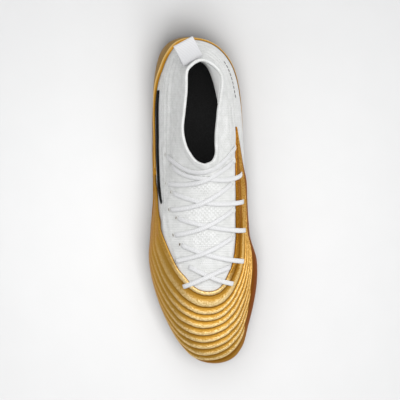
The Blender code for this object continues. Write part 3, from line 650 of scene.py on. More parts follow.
# How far the collar bends out of the last's own curve, in metres, round the rim: squarer at the lateral
# back and at the medial front, drawn in at the medial side
collarRows = table(
    "turn bend",
    (-1.00, 0.0005),
    (-0.90, -0.0005),
    (-0.80, -0.0015),
    (-0.70, -0.0004),
    (-0.62, 0.0007),
    (-0.50, 0.0000),
    (-0.40, 0.0008),
    (-0.30, 0.0016),
    (-0.20, 0.0030),
    (-0.12, 0.0015),
    (-0.05, 0.0011),
    (0.05, 0.0021),
    (0.15, 0.0020),
    (0.25, 0.0027),
    (0.32, 0.0016),
    (0.40, -0.0004),
    (0.50, -0.0028),
    (0.56, -0.0030),
    (0.70, -0.0011),
    (0.80, 0.0015),
    (0.86, 0.0019),
    (0.95, 0.0005),
    (1.00, 0.0005),
)
collarBend = (0.80, 1.0)  # levels where the bend begins and is full

# Folds, grooves and ridges of the knit, listed one by one: both ends as turn and level, half width and depth
# in metres. A negative depth is a ridge.
folds = table(
    "turnStart levelStart turnEnd levelEnd width depth",
    (-0.17, 0.46, -0.40, 0.43, 0.0013, 0.0013),
    (-0.15, 0.50, -0.46, 0.47, 0.0013, -0.0009),
    (-0.14, 0.54, -0.50, 0.51, 0.0013, 0.0014),
    (-0.13, 0.58, -0.48, 0.56, 0.0014, -0.0009),
    (-0.14, 0.63, -0.42, 0.60, 0.0015, 0.0012),
    (-0.30, 0.66, -0.62, 0.60, 0.0028, 0.0009),
    (-0.40, 0.38, -0.66, 0.50, 0.0022, 0.0010),
    (-0.44, 0.46, -0.70, 0.56, 0.0022, -0.0009),
    (-0.09, 0.52, -0.14, 0.80, 0.0024, -0.0011),
    (-0.15, 0.68, -0.26, 0.84, 0.0026, 0.0011),
    (-0.40, 0.76, -0.64, 0.86, 0.0030, 0.0007),
    (0.02, 0.52, 0.24, 0.58, 0.0015, 0.0010),
    (0.02, 0.62, 0.24, 0.66, 0.0016, -0.0008),
    (0.03, 0.70, 0.28, 0.73, 0.0018, 0.0010),
    (0.26, 0.60, 0.50, 0.62, 0.0026, -0.0007),
    (0.28, 0.74, 0.54, 0.82, 0.0026, 0.0010),
    (0.36, 0.50, 0.54, 0.64, 0.0024, 0.0008),
)

# Edges of the eyestay in plan, in shares of half the ball width and half the length
stayLines = (
    ((-0.713, 0.307), (-0.679, 0.092), (-0.649, -0.092), (-0.552, -0.276), (-0.437, -0.399),
     (-0.303, -0.509)),
    ((0.614, 0.442), (0.586, 0.215), (0.587, 0.000), (0.577, -0.276), (0.521, -0.380)),
    ((-0.303, -0.509), (-0.136, -0.537), (0.127, -0.546), (0.334, -0.527), (0.465, -0.454),
     (0.559, -0.356)),
)

# Lens-shaped fields of raised dots between the lace crossings: middle and half sizes, shares as above
dotFields = table(
    "x y halfX halfY",
    (0.02, 0.100, 0.34, 0.062),
    (0.02, -0.080, 0.38, 0.070),
    (0.06, -0.245, 0.30, 0.060),
)


def toLine(x, y, line):  # distance in plan to a line through a few places
    best = np.full(np.shape(x), 1e3)
    for start, end in zip(line[:-1], line[1:]):
        ax, ay = start[0] * halfBall, start[1] * halfLength
        bx, by = end[0] * halfBall, end[1] * halfLength
        run = (bx - ax) ** 2 + (by - ay) ** 2
        share = np.clip(((x - ax) * (bx - ax) + (y - ay) * (by - ay)) / run, 0, 1)
        best = np.minimum(best, np.hypot(x - ax - share * (bx - ax), y - ay - share * (by - ay)))
    return best


girth = 0.66  # length of a level curve round the shoe
stance = 0.115  # height of the wall from the feather line to the rim


def knitRelief(turn, level, points):
    side = sideOf(turn)
    relief = knit["rimOut"] * smooth(knit["rimStart"], knit["rimStart"] + 0.02, level)
    ribs = 0.5 + 0.5 * np.cos(2 * pi * knit["collarRibs"] * turn / 2)
    begin, full, fade = knit["collarRibLevels"]
    window = smooth(begin, full, level) * (1 - smooth(fade, knit["rimStart"], level))
    # Only along the medial side and at the very front
    front = np.where(side > 0, smooth(0.25, 0.40, side), smooth(0.84, 0.92, -side))
    relief = relief - ribs * window * front * knit["collarRibDepth"]
    rim = 0.5 + 0.5 * np.cos(2 * pi * knit["rimRibs"] * turn / 2)
    edge = np.exp(-((level - knit["rimStart"] - 0.006) / 0.008) ** 2)
    relief = relief - rim * edge * knit["rimRibDepth"]
    for fold in folds:
        du, dv = (fold.turnEnd - fold.turnStart) * girth / 2, (fold.levelEnd - fold.levelStart) * stance
        u, v = (side - fold.turnStart) * girth / 2, (level - fold.levelStart) * stance
        share = np.clip((u * du + v * dv) / (du * du + dv * dv), 0, 1)
        away = np.hypot(u - share * du, v - share * dv)
        taper = np.sin(pi * (0.08 + 0.84 * share))
        relief = relief - fold.depth * taper * np.exp(-((away / fold.width) ** 2))
    for line in stayLines:
        away = toLine(points[..., 0], points[..., 1], line)
        top = smooth(0.30, 0.40, level)
        relief = relief + top * knit["stayHeight"] * np.exp(-((away / knit["stayWidth"]) ** 2))
    return relief


def collarMove(turn, level):  # the bend of the collar as a move in plan
    normal = lastNormal(turn, 1.0)
    normal[..., 2] = 0
    normal = normal / np.linalg.norm(normal, axis=-1, keepdims=True)
    share = column(collarRows, "bend", sideOf(turn)) * smooth(*collarBend, level)
    return normal * share[..., None]


def makeUpper():
    turn = np.linspace(0, 2, knit["columns"], endpoint=False)
    low = np.linspace(0, knit["lowTop"], knit["lowRows"], endpoint=False)
    levels = np.concatenate([low, np.linspace(knit["lowTop"], 1, knit["rows"] - knit["lowRows"])])
    turns, heights = np.meshgrid(turn, levels)
    points = lastPoint(turns, heights)
    outer = points + lastNormal(turns, heights) * knitRelief(turns, heights, points)[..., None]
    outer = outer + collarMove(turns, heights)
    outer[0, :, 2] = featherHeight + plateRise(outer[0, :, 1]) + shoe["clearance"]
    topNormal = lastNormal(turn, 1.0)
    top = lastPoint(turn, 1.0) + collarMove(turn, 1.0)
    radius = (shoe["wall"] + knit["rimOut"]) / 2
    rim = []
    for step in range(1, knit["rimSteps"]):
        angle = pi * step / knit["rimSteps"]
        out = (knit["rimOut"] - shoe["wall"]) / 2 + radius * cos(angle)
        rim.append(top + topNormal * out + np.array([0, 0, radius * sin(angle)]))
    lining = []
    for level in np.linspace(1, 0, knit["liningRows"]):
        lining.append(outside(turn, level, -shoe["wall"]) + collarMove(turn, level))
    lining[-1][:, 2] = featherHeight + plateRise(lining[-1][:, 1]) + shoe["clearance"]
    rows = np.concatenate([outer, np.array(rim), np.array(lining)])
    faces = gridFaces(len(rows), len(turn), True, True)
    x, y = rows[..., 0] / halfBall, rows[..., 1] / halfLength
    dots = np.zeros(rows.shape[:2])
    for field in dotFields:
        away = ((x - field.x) / field.halfX) ** 2 + ((y - field.y) / field.halfY) ** 2
        dots = np.maximum(dots, 1 - smooth(0.55, 1.0, away))
    dots[len(levels):] = 0
    rowOf = np.arange(len(faces)) // len(turn)
    inside = (rowOf >= len(levels) + knit["rimSteps"] + 1).astype(int)
    piece = makePiece("upperKnit", rows, faces, [knitWhite, liningWhite], {"dots": dots}, finishOf=inside)
    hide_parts("upper")


makeUpper()
print("knit upper made")


# The ribbed skin of the forefoot

skin = {
    "thickness": 0.0013,
    "relief": 0.0010,
    "pipingHeight": 0.0008,
    "columns": 430,
    "pipingSteps": 10,
    "ribSteps": 13,
    "wallSteps": 20,
    "liningRows": 12,
    "rowGap": 0.0022,  # least step between two rows, as a share of the skin's height
    "wallSwell": 0.25,  # of the relief
    "wallGrit": 0.08,
}
# Upper edge and foot of the skin round the toe, as levels
skinRows = table(
    "round edge foot",
    (0.450, 0.100, 0.014),
    (0.484, 0.255, 0.014),
    (0.530, 0.345, 0.014),
    (0.600, 0.470, 0.014),
    (0.690, 0.532, 0.014),
    (0.770, 0.542, 0.014),
    (0.850, 0.562, 0.014),
    (1.000, 0.563, 0.014),
    (1.100, 0.561, 0.014),
    (1.160, 0.561, 0.014),
    (1.240, 0.551, 0.014),
    (1.310, 0.555, 0.014),
    (1.360, 0.628, 0.014),
    (1.420, 0.662, 0.014),
    (1.490, 0.650, 0.060),
    (1.560, 0.615, 0.400),
    (1.606, 0.582, 0.560),
)
# Levels of the slot under the raised edge and of the nine rib grooves, round the toe
grooveRows = table(
    "round slot g0 g1 g2 g3 g4 g5 g6 g7 g8",
    (0.450, 0.080, 0.062, 0.055, 0.050, 0.045, 0.040, 0.035, 0.030, 0.025, 0.020),
    (0.484, 0.230, 0.190, 0.150, 0.110, 0.080, 0.060, 0.048, 0.038, 0.028, 0.020),
    (0.530, 0.318, 0.275, 0.225, 0.170, 0.122, 0.085, 0.060, 0.042, 0.030, 0.020),
    (0.580, 0.405, 0.345, 0.290, 0.226, 0.165, 0.115, 0.078, 0.052, 0.034, 0.020),
    (0.620, 0.455, 0.380, 0.328, 0.270, 0.206, 0.146, 0.098, 0.064, 0.038, 0.020),
    (0.660, 0.480, 0.405, 0.360, 0.310, 0.250, 0.186, 0.126, 0.082, 0.046, 0.021),
    (0.700, 0.493, 0.426, 0.386, 0.340, 0.286, 0.224, 0.160, 0.103, 0.057, 0.023),
    (0.740, 0.506, 0.446, 0.410, 0.370, 0.321, 0.264, 0.202, 0.137, 0.078, 0.032),
    (0.780, 0.520, 0.465, 0.431, 0.398, 0.355, 0.304, 0.246, 0.180, 0.112, 0.051),
    (0.820, 0.533, 0.482, 0.450, 0.421, 0.385, 0.341, 0.289, 0.226, 0.155, 0.084),
    (0.860, 0.541, 0.496, 0.466, 0.440, 0.409, 0.372, 0.325, 0.267, 0.199, 0.126),
    (0.900, 0.547, 0.505, 0.478, 0.453, 0.425, 0.393, 0.352, 0.301, 0.237, 0.166),
    (0.950, 0.550, 0.511, 0.486, 0.463, 0.437, 0.409, 0.375, 0.331, 0.274, 0.206),
    (1.000, 0.551, 0.514, 0.491, 0.469, 0.445, 0.420, 0.391, 0.353, 0.304, 0.241),
    (1.050, 0.550, 0.514, 0.492, 0.471, 0.449, 0.426, 0.400, 0.368, 0.325, 0.268),
    (1.100, 0.547, 0.510, 0.490, 0.469, 0.447, 0.424, 0.400, 0.371, 0.334, 0.285),
    (1.150, 0.541, 0.502, 0.482, 0.461, 0.438, 0.413, 0.387, 0.357, 0.322, 0.284),
    (1.200, 0.531, 0.489, 0.469, 0.448, 0.424, 0.398, 0.370, 0.340, 0.309, 0.278),
    (1.250, 0.520, 0.475, 0.454, 0.432, 0.409, 0.383, 0.356, 0.328, 0.301, 0.274),
    (1.300, 0.512, 0.463, 0.442, 0.419, 0.396, 0.371, 0.347, 0.323, 0.300, 0.277),
    (1.350, 0.520, 0.458, 0.435, 0.412, 0.389, 0.367, 0.346, 0.325, 0.305, 0.284),
    (1.400, 0.538, 0.460, 0.436, 0.413, 0.391, 0.370, 0.350, 0.330, 0.311, 0.292),
    (1.450, 0.546, 0.474, 0.446, 0.420, 0.396, 0.374, 0.352, 0.331, 0.311, 0.292),
    (1.500, 0.548, 0.500, 0.470, 0.445, 0.420, 0.398, 0.376, 0.355, 0.335, 0.315),
    (1.560, 0.590, 0.575, 0.562, 0.548, 0.534, 0.520, 0.506, 0.492, 0.478, 0.464),
    (1.606, 0.579, 0.577, 0.575, 0.573, 0.571, 0.569, 0.567, 0.565, 0.563, 0.561),
)

# One rib from its upper groove to its lower one: height, colour from painted groove shade (0) to painted
# crest highlight (1), and grain with its painted glints
ribShape = table(
    "way height colour grain",
    (0.00, 0.00, 0.00, 0.1),
    (0.06, 0.10, 0.28, 0.2),
    (0.25, 0.32, 0.42, 0.3),
    (0.42, 0.66, 0.58, 0.7),
    (0.55, 0.90, 0.90, 1.0),
    (0.70, 1.00, 1.00, 1.0),
    (0.86, 0.92, 0.92, 1.0),
    (0.94, 0.50, 0.38, 0.5),
    (1.00, 0.00, 0.00, 0.1),
)

# Round the skin: height of the ribs, how strongly their painted highlight and shade vary (weaker on the
# lateral side, which gets less light), its plain colour (darker on the medial side as painted shade), the
# colour of the raised edge (a painted highlight, brightest round the toe) and of the smooth wall under the
# ribs (painted shade on the medial side), the grain with its painted glints, the painted dark ochre shade,
# and the level where the wall begins
skinTone = table(
    "round height contrast plain piping wall grain ochre wallTop",
    (0.45, 0.00, 0.00, 0.52, 0.46, 0.50, 0.10, 0.0, 0.00),
    (0.56, 0.00, 0.10, 0.52, 0.50, 0.50, 0.10, 0.0, 0.00),
    (0.66, 0.45, 0.25, 0.53, 0.52, 0.50, 0.20, 0.0, 0.00),
    (0.75, 0.80, 0.42, 0.52, 0.68, 0.48, 0.40, 0.0, 0.05),
    (0.82, 1.00, 0.70, 0.48, 0.96, 0.44, 0.70, 0.0, 0.10),
    (0.90, 1.00, 0.95, 0.42, 1.05, 0.38, 0.95, 0.0, 0.15),
    (1.00, 1.00, 1.00, 0.42, 1.05, 0.34, 1.00, 0.0, 0.20),
    (1.10, 1.00, 1.05, 0.42, 0.95, 0.34, 1.00, 0.0, 0.24),
    (1.16, 1.00, 1.15, 0.38, 0.80, 0.22, 0.95, 0.1, 0.270),
    (1.20, 1.00, 1.20, 0.32, 0.60, 0.08, 0.85, 0.3, 0.298),
    (1.24, 1.00, 1.25, 0.26, 0.46, 0.00, 0.80, 0.4, 0.312),
    (1.30, 1.00, 1.25, 0.22, 0.40, 0.00, 0.80, 0.5, 0.338),
    (1.36, 0.95, 1.15, 0.22, 0.38, 0.00, 0.90, 0.5, 0.350),
    (1.46, 0.70, 0.80, 0.34, 0.40, 0.10, 1.00, 0.5, 0.330),
    (1.606, 0.40, 0.50, 0.36, 0.40, 0.20, 1.00, 0.6, 0.300),
)


def makeSkin():
    place = np.linspace(skinRows[0].round, skinRows[-1].round, skin["columns"])
    tone = {name: column(skinTone, name, place) for name in skinTone[0]._fields[1:]}
    edge, foot = column(skinRows, "edge", place), column(skinRows, "foot", place)
    grooves = [column(grooveRows, name, place) for name in grooveRows[0]._fields[1:]]
    levels, heights, paintedShades, grains = [], [], [], []

    def addRow(level, height, colour, grain):
        levels.append(level)
        heights.append(np.broadcast_to(height, place.shape))
        paintedShades.append(np.broadcast_to(colour, place.shape))
        grains.append(np.broadcast_to(grain, place.shape))

    # The raised edge: a painted highlight, brightest at the top of its roll
    for step in range(skin["pipingSteps"]):
        way = step / skin["pipingSteps"]
        roll = sin(pi * way) ** 0.7 if way else 0.0
        shade = tone["plain"] + (tone["piping"] - tone["plain"]) * (0.35 + 0.65 * roll)
        addRow(edge + (grooves[0] - edge) * way, roll * skin["pipingHeight"], shade, tone["grain"])
    # The ribs: painted shade in the grooves and a painted highlight on the crests
    for upper, lower in zip(grooves[:-1], grooves[1:]):
        for step in range(skin["ribSteps"]):
            way = step / skin["ribSteps"]
            rib = {name: float(column(ribShape, name, way)) for name in ribShape[0]._fields[1:]}
            shade = tone["plain"] + (rib["colour"] - tone["plain"]) * tone["contrast"]
            addRow(upper + (lower - upper) * way, rib["height"] * skin["relief"] * tone["height"],
                   shade, rib["grain"] * tone["grain"])
    # The smooth wall: its colour, with painted shade on the medial side
    for step in range(skin["wallSteps"] + 1):
        way = step / skin["wallSteps"]
        swell = sin(pi * way) * skin["wallSwell"] * skin["relief"]
        bare = tone["plain"] * (1 - tone["contrast"])
        shade = bare + (tone["wall"] - bare) * min(1, 4 * way)
        addRow(grooves[-1] + (foot - grooves[-1]) * way, swell, shade, skin["wallGrit"])
    levels, heights, paintedShades, grains = (np.array(values) for values in (levels, heights, paintedShades, grains))
    least = foot + skin["rowGap"] * (edge - foot) * np.arange(len(levels) - 1, -1, -1)[:, None]
    levels = np.maximum(levels, least)
    ribbed = smooth(tone["wallTop"] - 0.008, tone["wallTop"] + 0.006, levels)  # 0 on the smooth wall
    heights, grains = heights * ribbed, grains * ribbed
    paintedShades = tone["wall"] + (paintedShades - tone["wall"]) * ribbed
    outer = overPlate(outside(-place, levels, shoe["laminateGap"] + skin["thickness"] + heights))
    shares = np.linspace(1, 0, skin["liningRows"])[:, None]
    inner = overPlate(outside(-place, edge + (foot - edge) * shares, shoe["laminateGap"]))
    grid = np.concatenate([outer, inner])
    faces = tubeFaces(len(grid), len(place))
    plain = np.zeros(inner.shape[:2])
    # Painted rib highlight and shade, and the grit with its painted glints
    marks = {"crest": np.concatenate([paintedShades, plain]), "gritAndGlint": np.concatenate([grains, plain])}
    # Painted dark ochre shade of the medial side
    marks["ochre"] = np.broadcast_to(tone["ochre"], grid.shape[:2])
    piece = makePiece("forefootSkin", grid, faces, [goldSkin], marks, sharp=radians(75))
    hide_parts("forefoot_skin")


makeSkin()
print("forefoot skin made")


# The heel counter: a cup, highest and thickest at the lateral back

counter = {
    "thickness": 0.0014,
    "columns": 240,
    "rows": 60,
    "foot": 0.014,
    # The dark line is painted shade over this slot
    "slot": (0.885, 0.91, 0.925, 0.945),  # shares of the height where the dark line sinks in and ends
    "slotDepth": 0.35,
    "lipRise": (0.925, 0.95),
    "lip": 0.0005,
    "roll": 0.7,  # how far the edge rounds in above the lip
}
counterRows = table(
    "turn top bulk",
    (-0.435, 0.08, 0.7),
    (-0.32, 0.17, 0.9),
    (-0.26, 0.25, 1.4),
    (-0.20, 0.365, 1.6),
    (-0.12, 0.435, 1.4),
    (-0.04, 0.40, 1.0),
    (0.05, 0.34, 0.7),
    (0.14, 0.25, 0.5),
    (0.28, 0.16, 0.2),
    (0.44, 0.07, 0.1),
)


def makeCounter():
    turn = np.linspace(counterRows[0].turn, counterRows[-1].turn, counter["columns"])
    top, bulk = column(counterRows, "top", turn), column(counterRows, "bulk", turn)
    sink, bottom, rise, end = counter["slot"]
    outer, inner, marks = [], [], []
    for share in np.linspace(0, 1, counter["rows"]):
        level = counter["foot"] + (top - counter["foot"]) * share
        slot = float(smooth(sink, bottom, share) * (1 - smooth(rise, end, share)))
        step = -counter["slotDepth"] * slot
        roll = 1 - counter["roll"] * float(smooth(0.95, 1.0, share)) ** 2
        lip = float(smooth(*counter["lipRise"], share)) * counter["lip"]
        out = shoe["laminateGap"] + (counter["thickness"] * (1 + step) + lip) * roll * bulk
        outer.append(overPlate(outside(turn, level, out)))
        inner.append(overPlate(outside(turn, level, shoe["laminateGap"])))
        marks.append(np.full(turn.shape, share))
    grid = np.array(outer + inner[::-1])
    faces = tubeFaces(len(grid), len(turn))
    piece = makePiece("heelCounter", grid, faces, [goldCounter], {"rise": marks + marks[::-1]})
    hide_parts("heel_counter")


makeCounter()


# The lateral piping: a flat black strip, low on the side and turned up at its front end

piping = {"height": 0.0009, "columns": 120, "sides": 16}
pipingRows = table(
    "turn level width",
    (-0.533, 0.420, 0.0018),
    (-0.505, 0.355, 0.0040),
    (-0.470, 0.300, 0.0070),
    (-0.405, 0.282, 0.0090),
    (-0.320, 0.284, 0.0090),
    (-0.265, 0.296, 0.0080),
)


def makePiping():
    turn = np.linspace(pipingRows[0].turn, pipingRows[-1].turn, piping["columns"])
    middle, width = column(pipingRows, "level", turn), column(pipingRows, "width", turn)
    rows = []
    for step in range(piping["sides"]):
        angle = pi * step / (piping["sides"] - 1)
        level = middle + cos(angle) / 2 * width / shoe["collarHeight"]
        rows.append(outside(turn, level, shoe["clearance"] + sin(angle) ** 0.4 * piping["height"]))
    piece = makePiece("sidePiping", rows, tubeFaces(len(rows), len(turn)), [blackPiping])
    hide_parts("side_piping")


makePiping()
print("heel counter and piping made")


# The laces

lace = {
    "width": 0.0044,
    "thickness": 0.0013,
    "steps": 56,
    "ease": 0.6,  # how much closer the steps lie near both ends
    "sides": 14,
    "gap": 0.0003,
    "hump": 0.9,  # rise over the strip below, in thicknesses
    "humpReach": 0.13,
    "sink": 0.0030,  # how deep the ends go into their eyelets
    "sinkReach": 0.02,
}
# Both ends of each strip in plan, in shares of half the ball width and half the length, how far it bows to
# the toe, how blunt the bow is, and whether it lies on top
laceRows = table(
    "crossing xLateral yLateral xMedial yMedial bow flat layer",
    (1, -0.272, -0.401, 0.584, -0.512, 0.013, 2, 0),
    (1, -0.357, -0.530, 0.524, -0.401, 0.003, 2, 1),
    (2, -0.424, -0.269, 0.790, -0.374, 0.021, 2, 0),
    (2, -0.493, -0.370, 0.576, -0.225, 0.024, 2, 1),
    (3, -0.495, -0.107, 0.814, -0.186, 0.019, 2, 0),
    (3, -0.545, -0.214, 0.587, -0.055, 0.031, 2, 1),
    (4, -0.588, 0.049, 0.777, -0.007, 0.040, 2, 0),
    (4, -0.623, -0.058, 0.571, 0.113, 0.045, 2, 1),
    (5, -0.603, 0.218, 0.742, 0.172, 0.066, 4, 0),
    (5, -0.671, 0.102, 0.586, 0.245, 0.058, 2, 1),
    (6, -0.680, 0.279, 0.620, 0.334, 0.137, 2, 0),
)


def softly(values, rounds):  # evens out a run of values along its first axis
    for _ in range(rounds):
        middle = (values[:-2] + 2 * values[1:-1] + values[2:]) / 4
        values = np.concatenate([values[:1], middle, values[-1:]])
    return values


def laceCourse(row, share):  # turn, level and height over the last along a strip
    x = halfBall * (row.xLateral + (row.xMedial - row.xLateral) * share)
    bow = row.bow * (1 - np.abs(2 * share - 1) ** row.flat)
    y = halfLength * (row.yLateral + (row.yMedial - row.yLateral) * share - bow)
    turn, level = drape(x, y)
    edge = column(skinRows, "edge", np.where(turn < 0, -turn, 2 - turn))
    climb = 1 - smooth(0.012, 0.060, level - edge)
    lift = lace["gap"] + climb * (skin["thickness"] + skin["pipingHeight"])
    over = np.exp(-(((share - 0.5) / lace["humpReach"]) ** 2))
    lift = lift + row.layer * lace["hump"] * lace["thickness"] * over
    reach = lace["sinkReach"]
    dive = np.exp(-((share / reach) ** 2)) + np.exp(-(((1 - share) / reach) ** 2))
    return turn, level, softly(lift, 2) - dive * lace["sink"]


def laceStrip(base, up, across):  # flat oval tube along a path, rounded in at both ends
    rows = []
    ends = np.minimum(np.arange(len(base)), np.arange(len(base))[::-1])
    half = (lace["width"] / 2 * (0.5 + 0.5 * smooth(-0.5, 3.0, ends)))[:, None]
    for k in range(lace["sides"]):
        angle = 2 * pi * k / lace["sides"]
        flatX = abs(cos(angle)) ** 0.55 * (1 if cos(angle) > 0 else -1)
        flatZ = abs(sin(angle)) ** 0.75 * (1 if sin(angle) > 0 else -1)
        rows.append(base + across * half * flatX + up * lace["thickness"] / 2 * (flatZ + 1))
    return rows, tubeFaces(lace["sides"], len(base))


def tubeCloth(path, v):  # cloth coordinates along a path and across it
    u = np.linspace(0, float(np.linalg.norm(np.diff(path, axis=0), axis=1).sum()), len(path))
    return gridCloth(np.stack(np.broadcast_arrays(u[None, :], v[:, None]), axis=-1))


def makeLaces():
    eased = (1 - np.cos(np.linspace(0, pi, lace["steps"]))) / 2
    share = eased * lace["ease"] + np.linspace(0, 1, lace["steps"]) * (1 - lace["ease"])
    v = lace["width"] / 2 * np.cos(2 * pi * np.arange(lace["sides"] + 1) / lace["sides"])
    ends = []
    for crossing in range(1, 7):
        parts, cloths = [], []
        for row in [r for r in laceRows if r.crossing == crossing]:
            turn, level, lift = laceCourse(row, share)
            base = softly(outside(turn, level, lift), 6)
            up = softly(lastNormal(turn, level), 8)
            run = np.gradient(base, axis=0)
            across = np.cross(run, up)
            across = across / np.linalg.norm(across, axis=-1, keepdims=True)
            parts.append(laceStrip(base, up, across))
            cloths += [tubeCloth(base, v), np.zeros((2 * lace["sides"], 2))]
            ends.append((row, turn[[0, -1]], level[[0, -1]], run[[0, -1]]))
        cloth = np.concatenate(cloths)
        piece = makePiece(f"laceCrossing{crossing}", *joinParts(parts), [laceWhite], cloth=cloth)
        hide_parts(f"lace_cross_{crossing}")
    return ends


laceEnds = makeLaces()
print("laces made")


# Eyelets: small holes at the lateral ends, each a sunk dark disc of painted shade in a thread rim, woven
# loops or slots at the medial ends

eyelet = {
    "long": 0.0029,
    "short": 0.0012,
    "rim": 0.0003,
    "depth": 0.0004,
    "loopWidth": 0.0050,
    "loopLength": 0.0030,
    "loopThickness": 0.0006,
    "tubeSides": 8,
    "ringSteps": 20,
    "holeSteps": 16,
}


def ringAt(centre, axes, longHalf, shortHalf, radius):
    along, across, up = axes
    rings = []
    for k in range(eyelet["tubeSides"]):
        tube = 2 * pi * k / eyelet["tubeSides"]
        ring = []
        for m in range(eyelet["ringSteps"]):
            angle = 2 * pi * m / eyelet["ringSteps"]
            reach = 1 + radius / longHalf * cos(tube)
            place = along * cos(angle) * longHalf * reach
            place = place + across * sin(angle) * (shortHalf + radius * cos(tube))
            ring.append(centre + place + up * radius * sin(tube))
        rings.append(ring)
    return rings, gridFaces(eyelet["tubeSides"], eyelet["ringSteps"], True, True)


def discAt(centre, axes, longHalf, shortHalf, depth):
    along, across, up = axes
    count = eyelet["holeSteps"]
    rings = []
    for lift, size in ((-depth, 0.6), (-depth, 0.9), (0.0, 1.0), (depth * 0.3, 0.7)):
        ring = []
        for m in range(count):
            angle = 2 * pi * m / count
            place = along * cos(angle) * longHalf + across * sin(angle) * shortHalf
            ring.append(centre + place * size + up * lift)
        rings.append(ring)
    last = (len(rings) - 1) * count
    ends = [tuple(range(count)), tuple(range(last, last + count))]
    return rings, [*gridFaces(len(rings), count, False, True), *ends]


def makeEyelets():
    rims, shadeDiscs = [], []
    for row, turns, levels, runs in laceEnds:
        for end in (0, 1):
            if row.crossing == 1 or (end == 1 and row.layer == 0):  # these ends go into the skin
                continue
            turn, level = turns[end], levels[end]
            up = lastNormal(turn, level)
            run = runs[end] / np.linalg.norm(runs[end])
            along = run - up * (run @ up)
            along = along / np.linalg.norm(along)
            axes = (along, np.cross(along, up), up)
            outward = -along if end == 0 else along
            centre = lastPoint(turn, level) + up * 0.0007 - outward * 0.0001
            if end == 0:
                halves = (eyelet["short"] / 2, eyelet["long"] / 2)
                # A dark disc of painted shade sunk in the hole
                shadeDiscs.append(discAt(centre, axes, *halves, eyelet["depth"]))
                rims.append(ringAt(centre, axes, *(half + eyelet["rim"] for half in halves), eyelet["rim"]))
            else:
                halves = (eyelet["loopLength"] / 2, eyelet["loopWidth"] / 2)
                rims.append(ringAt(centre - outward * 0.001, axes, *halves, eyelet["loopThickness"]))
    # The discs in the holes are painted shade
    for name, parts, finish in (("eyeletRims", rims, threadWhite), ("eyeletHoleShade", shadeDiscs, paintedHoleShade)):
        piece = makePiece(name, *joinParts(parts), [finish])


makeEyelets()
print("eyelets made")


# The pull tab: a folded tape, whose profile is in shares of its length out from the collar and up

tab = {
    "width": 0.0200,
    "length": 0.0218,
    "ply": 0.0013,
    "turn": -0.072,
    "level": 0.90,
    "lean": (-0.48, 0.88),
    "back": 0.0032,  # how far its root lies over the collar's edge
    "cup": 0.0006,  # how far its middle bulges
    "selvedge": 0.25,  # how much thicker its woven edges are
    "steps": 90,
    "sides": 40,
}
tabRows = table(
    "out up",
    (0.24, -0.50),
    (0.10, -0.16),
    (0.11, 0.02),
    (0.20, 0.20),
    (0.45, 0.38),
    (0.76, 0.50),
    (0.97, 0.50),
    (1.00, 0.43),
    (0.93, 0.38),
    (0.72, 0.33),
    (0.44, 0.17),
    (0.29, -0.04),
    (0.31, -0.28),
    (0.40, -0.50),
)


def throughPoints(points, steps):  # smooth curve through a few points, evenly spaced along it
    points = np.asarray(points, dtype=float)
    padded = np.vstack([2 * points[0] - points[1], points, 2 * points[-1] - points[-2]])
    out = []
    for i in range(1, len(padded) - 2):
        a, b, c, d = padded[i - 1:i + 3]
        for t in np.linspace(0, 1, 16, endpoint=False):
            square, cube = 2 * a - 5 * b + 4 * c - d, 3 * b - a - 3 * c + d
            out.append(0.5 * (2 * b + (c - a) * t + square * t**2 + cube * t**3))
    out.append(points[-1])
    out = np.array(out)
    run = np.concatenate([[0], np.cumsum(np.linalg.norm(np.diff(out, axis=0), axis=1))])
    even = np.linspace(0, run[-1], steps)
    return np.stack([np.interp(even, run, out[:, k]) for k in range(out.shape[1])], axis=-1)


def makeTab():
    root = outside(np.array(tab["turn"]), np.array(tab["level"]), 2 * shoe["clearance"] + tab["ply"])
    lean = np.array([*tab["lean"], 0.0])
    lean = lean / np.linalg.norm(lean)
    up = np.array([0.0, 0.0, 1.0])
    side = np.cross(lean, up)
    root = root - lean * tab["back"]
    path = throughPoints(np.array(tabRows) * tab["length"], tab["steps"])
    run = np.gradient(path, axis=0)
    run = run / np.linalg.norm(run, axis=1, keepdims=True)
    turned = np.column_stack([-run[:, 1], run[:, 0]])
    rows, v = [], []
    for k in range(tab["sides"]):
        angle = 2 * pi * k / tab["sides"]
        wide = np.sign(cos(angle)) * abs(cos(angle)) ** 0.35 / 2
        thick = np.sign(sin(angle)) * abs(sin(angle)) ** 0.5 / 2
        edge = 1 + tab["selvedge"] * float(smooth(0.42, 0.47, abs(wide)))
        flat = path + turned * thick * tab["ply"] * edge
        cup = tab["cup"] * (1 - (2 * wide) ** 2) * np.sin(np.linspace(0, pi, tab["steps"]))[:, None] * up
        rows.append(root + flat[:, :1] * lean + flat[:, 1:] * up + wide * tab["width"] * side + cup)
        v.append(wide * tab["width"])
    cloth = tubeCloth(path, np.array([*v, v[0]]))
    piece = makePiece("pullTab", rows, tubeFaces(tab["sides"], tab["steps"]), [tapeWhite], cloth=cloth)
    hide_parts("pull_tab")


makeTab()
print("pull tab made")


# The footbed

footbed = {"thickness": 0.004, "columns": 200, "rows": 34}
dish = {"depth": 0.0016, "y": 0.105, "halfWidth": 0.018, "halfLength": 0.028}  # the hollow under the heel
footbedSide = table("inset rise", (0.1, 0.0), (0.0, 0.3), (0.0, 0.8), (0.06, 0.95), (0.2, 1.0))


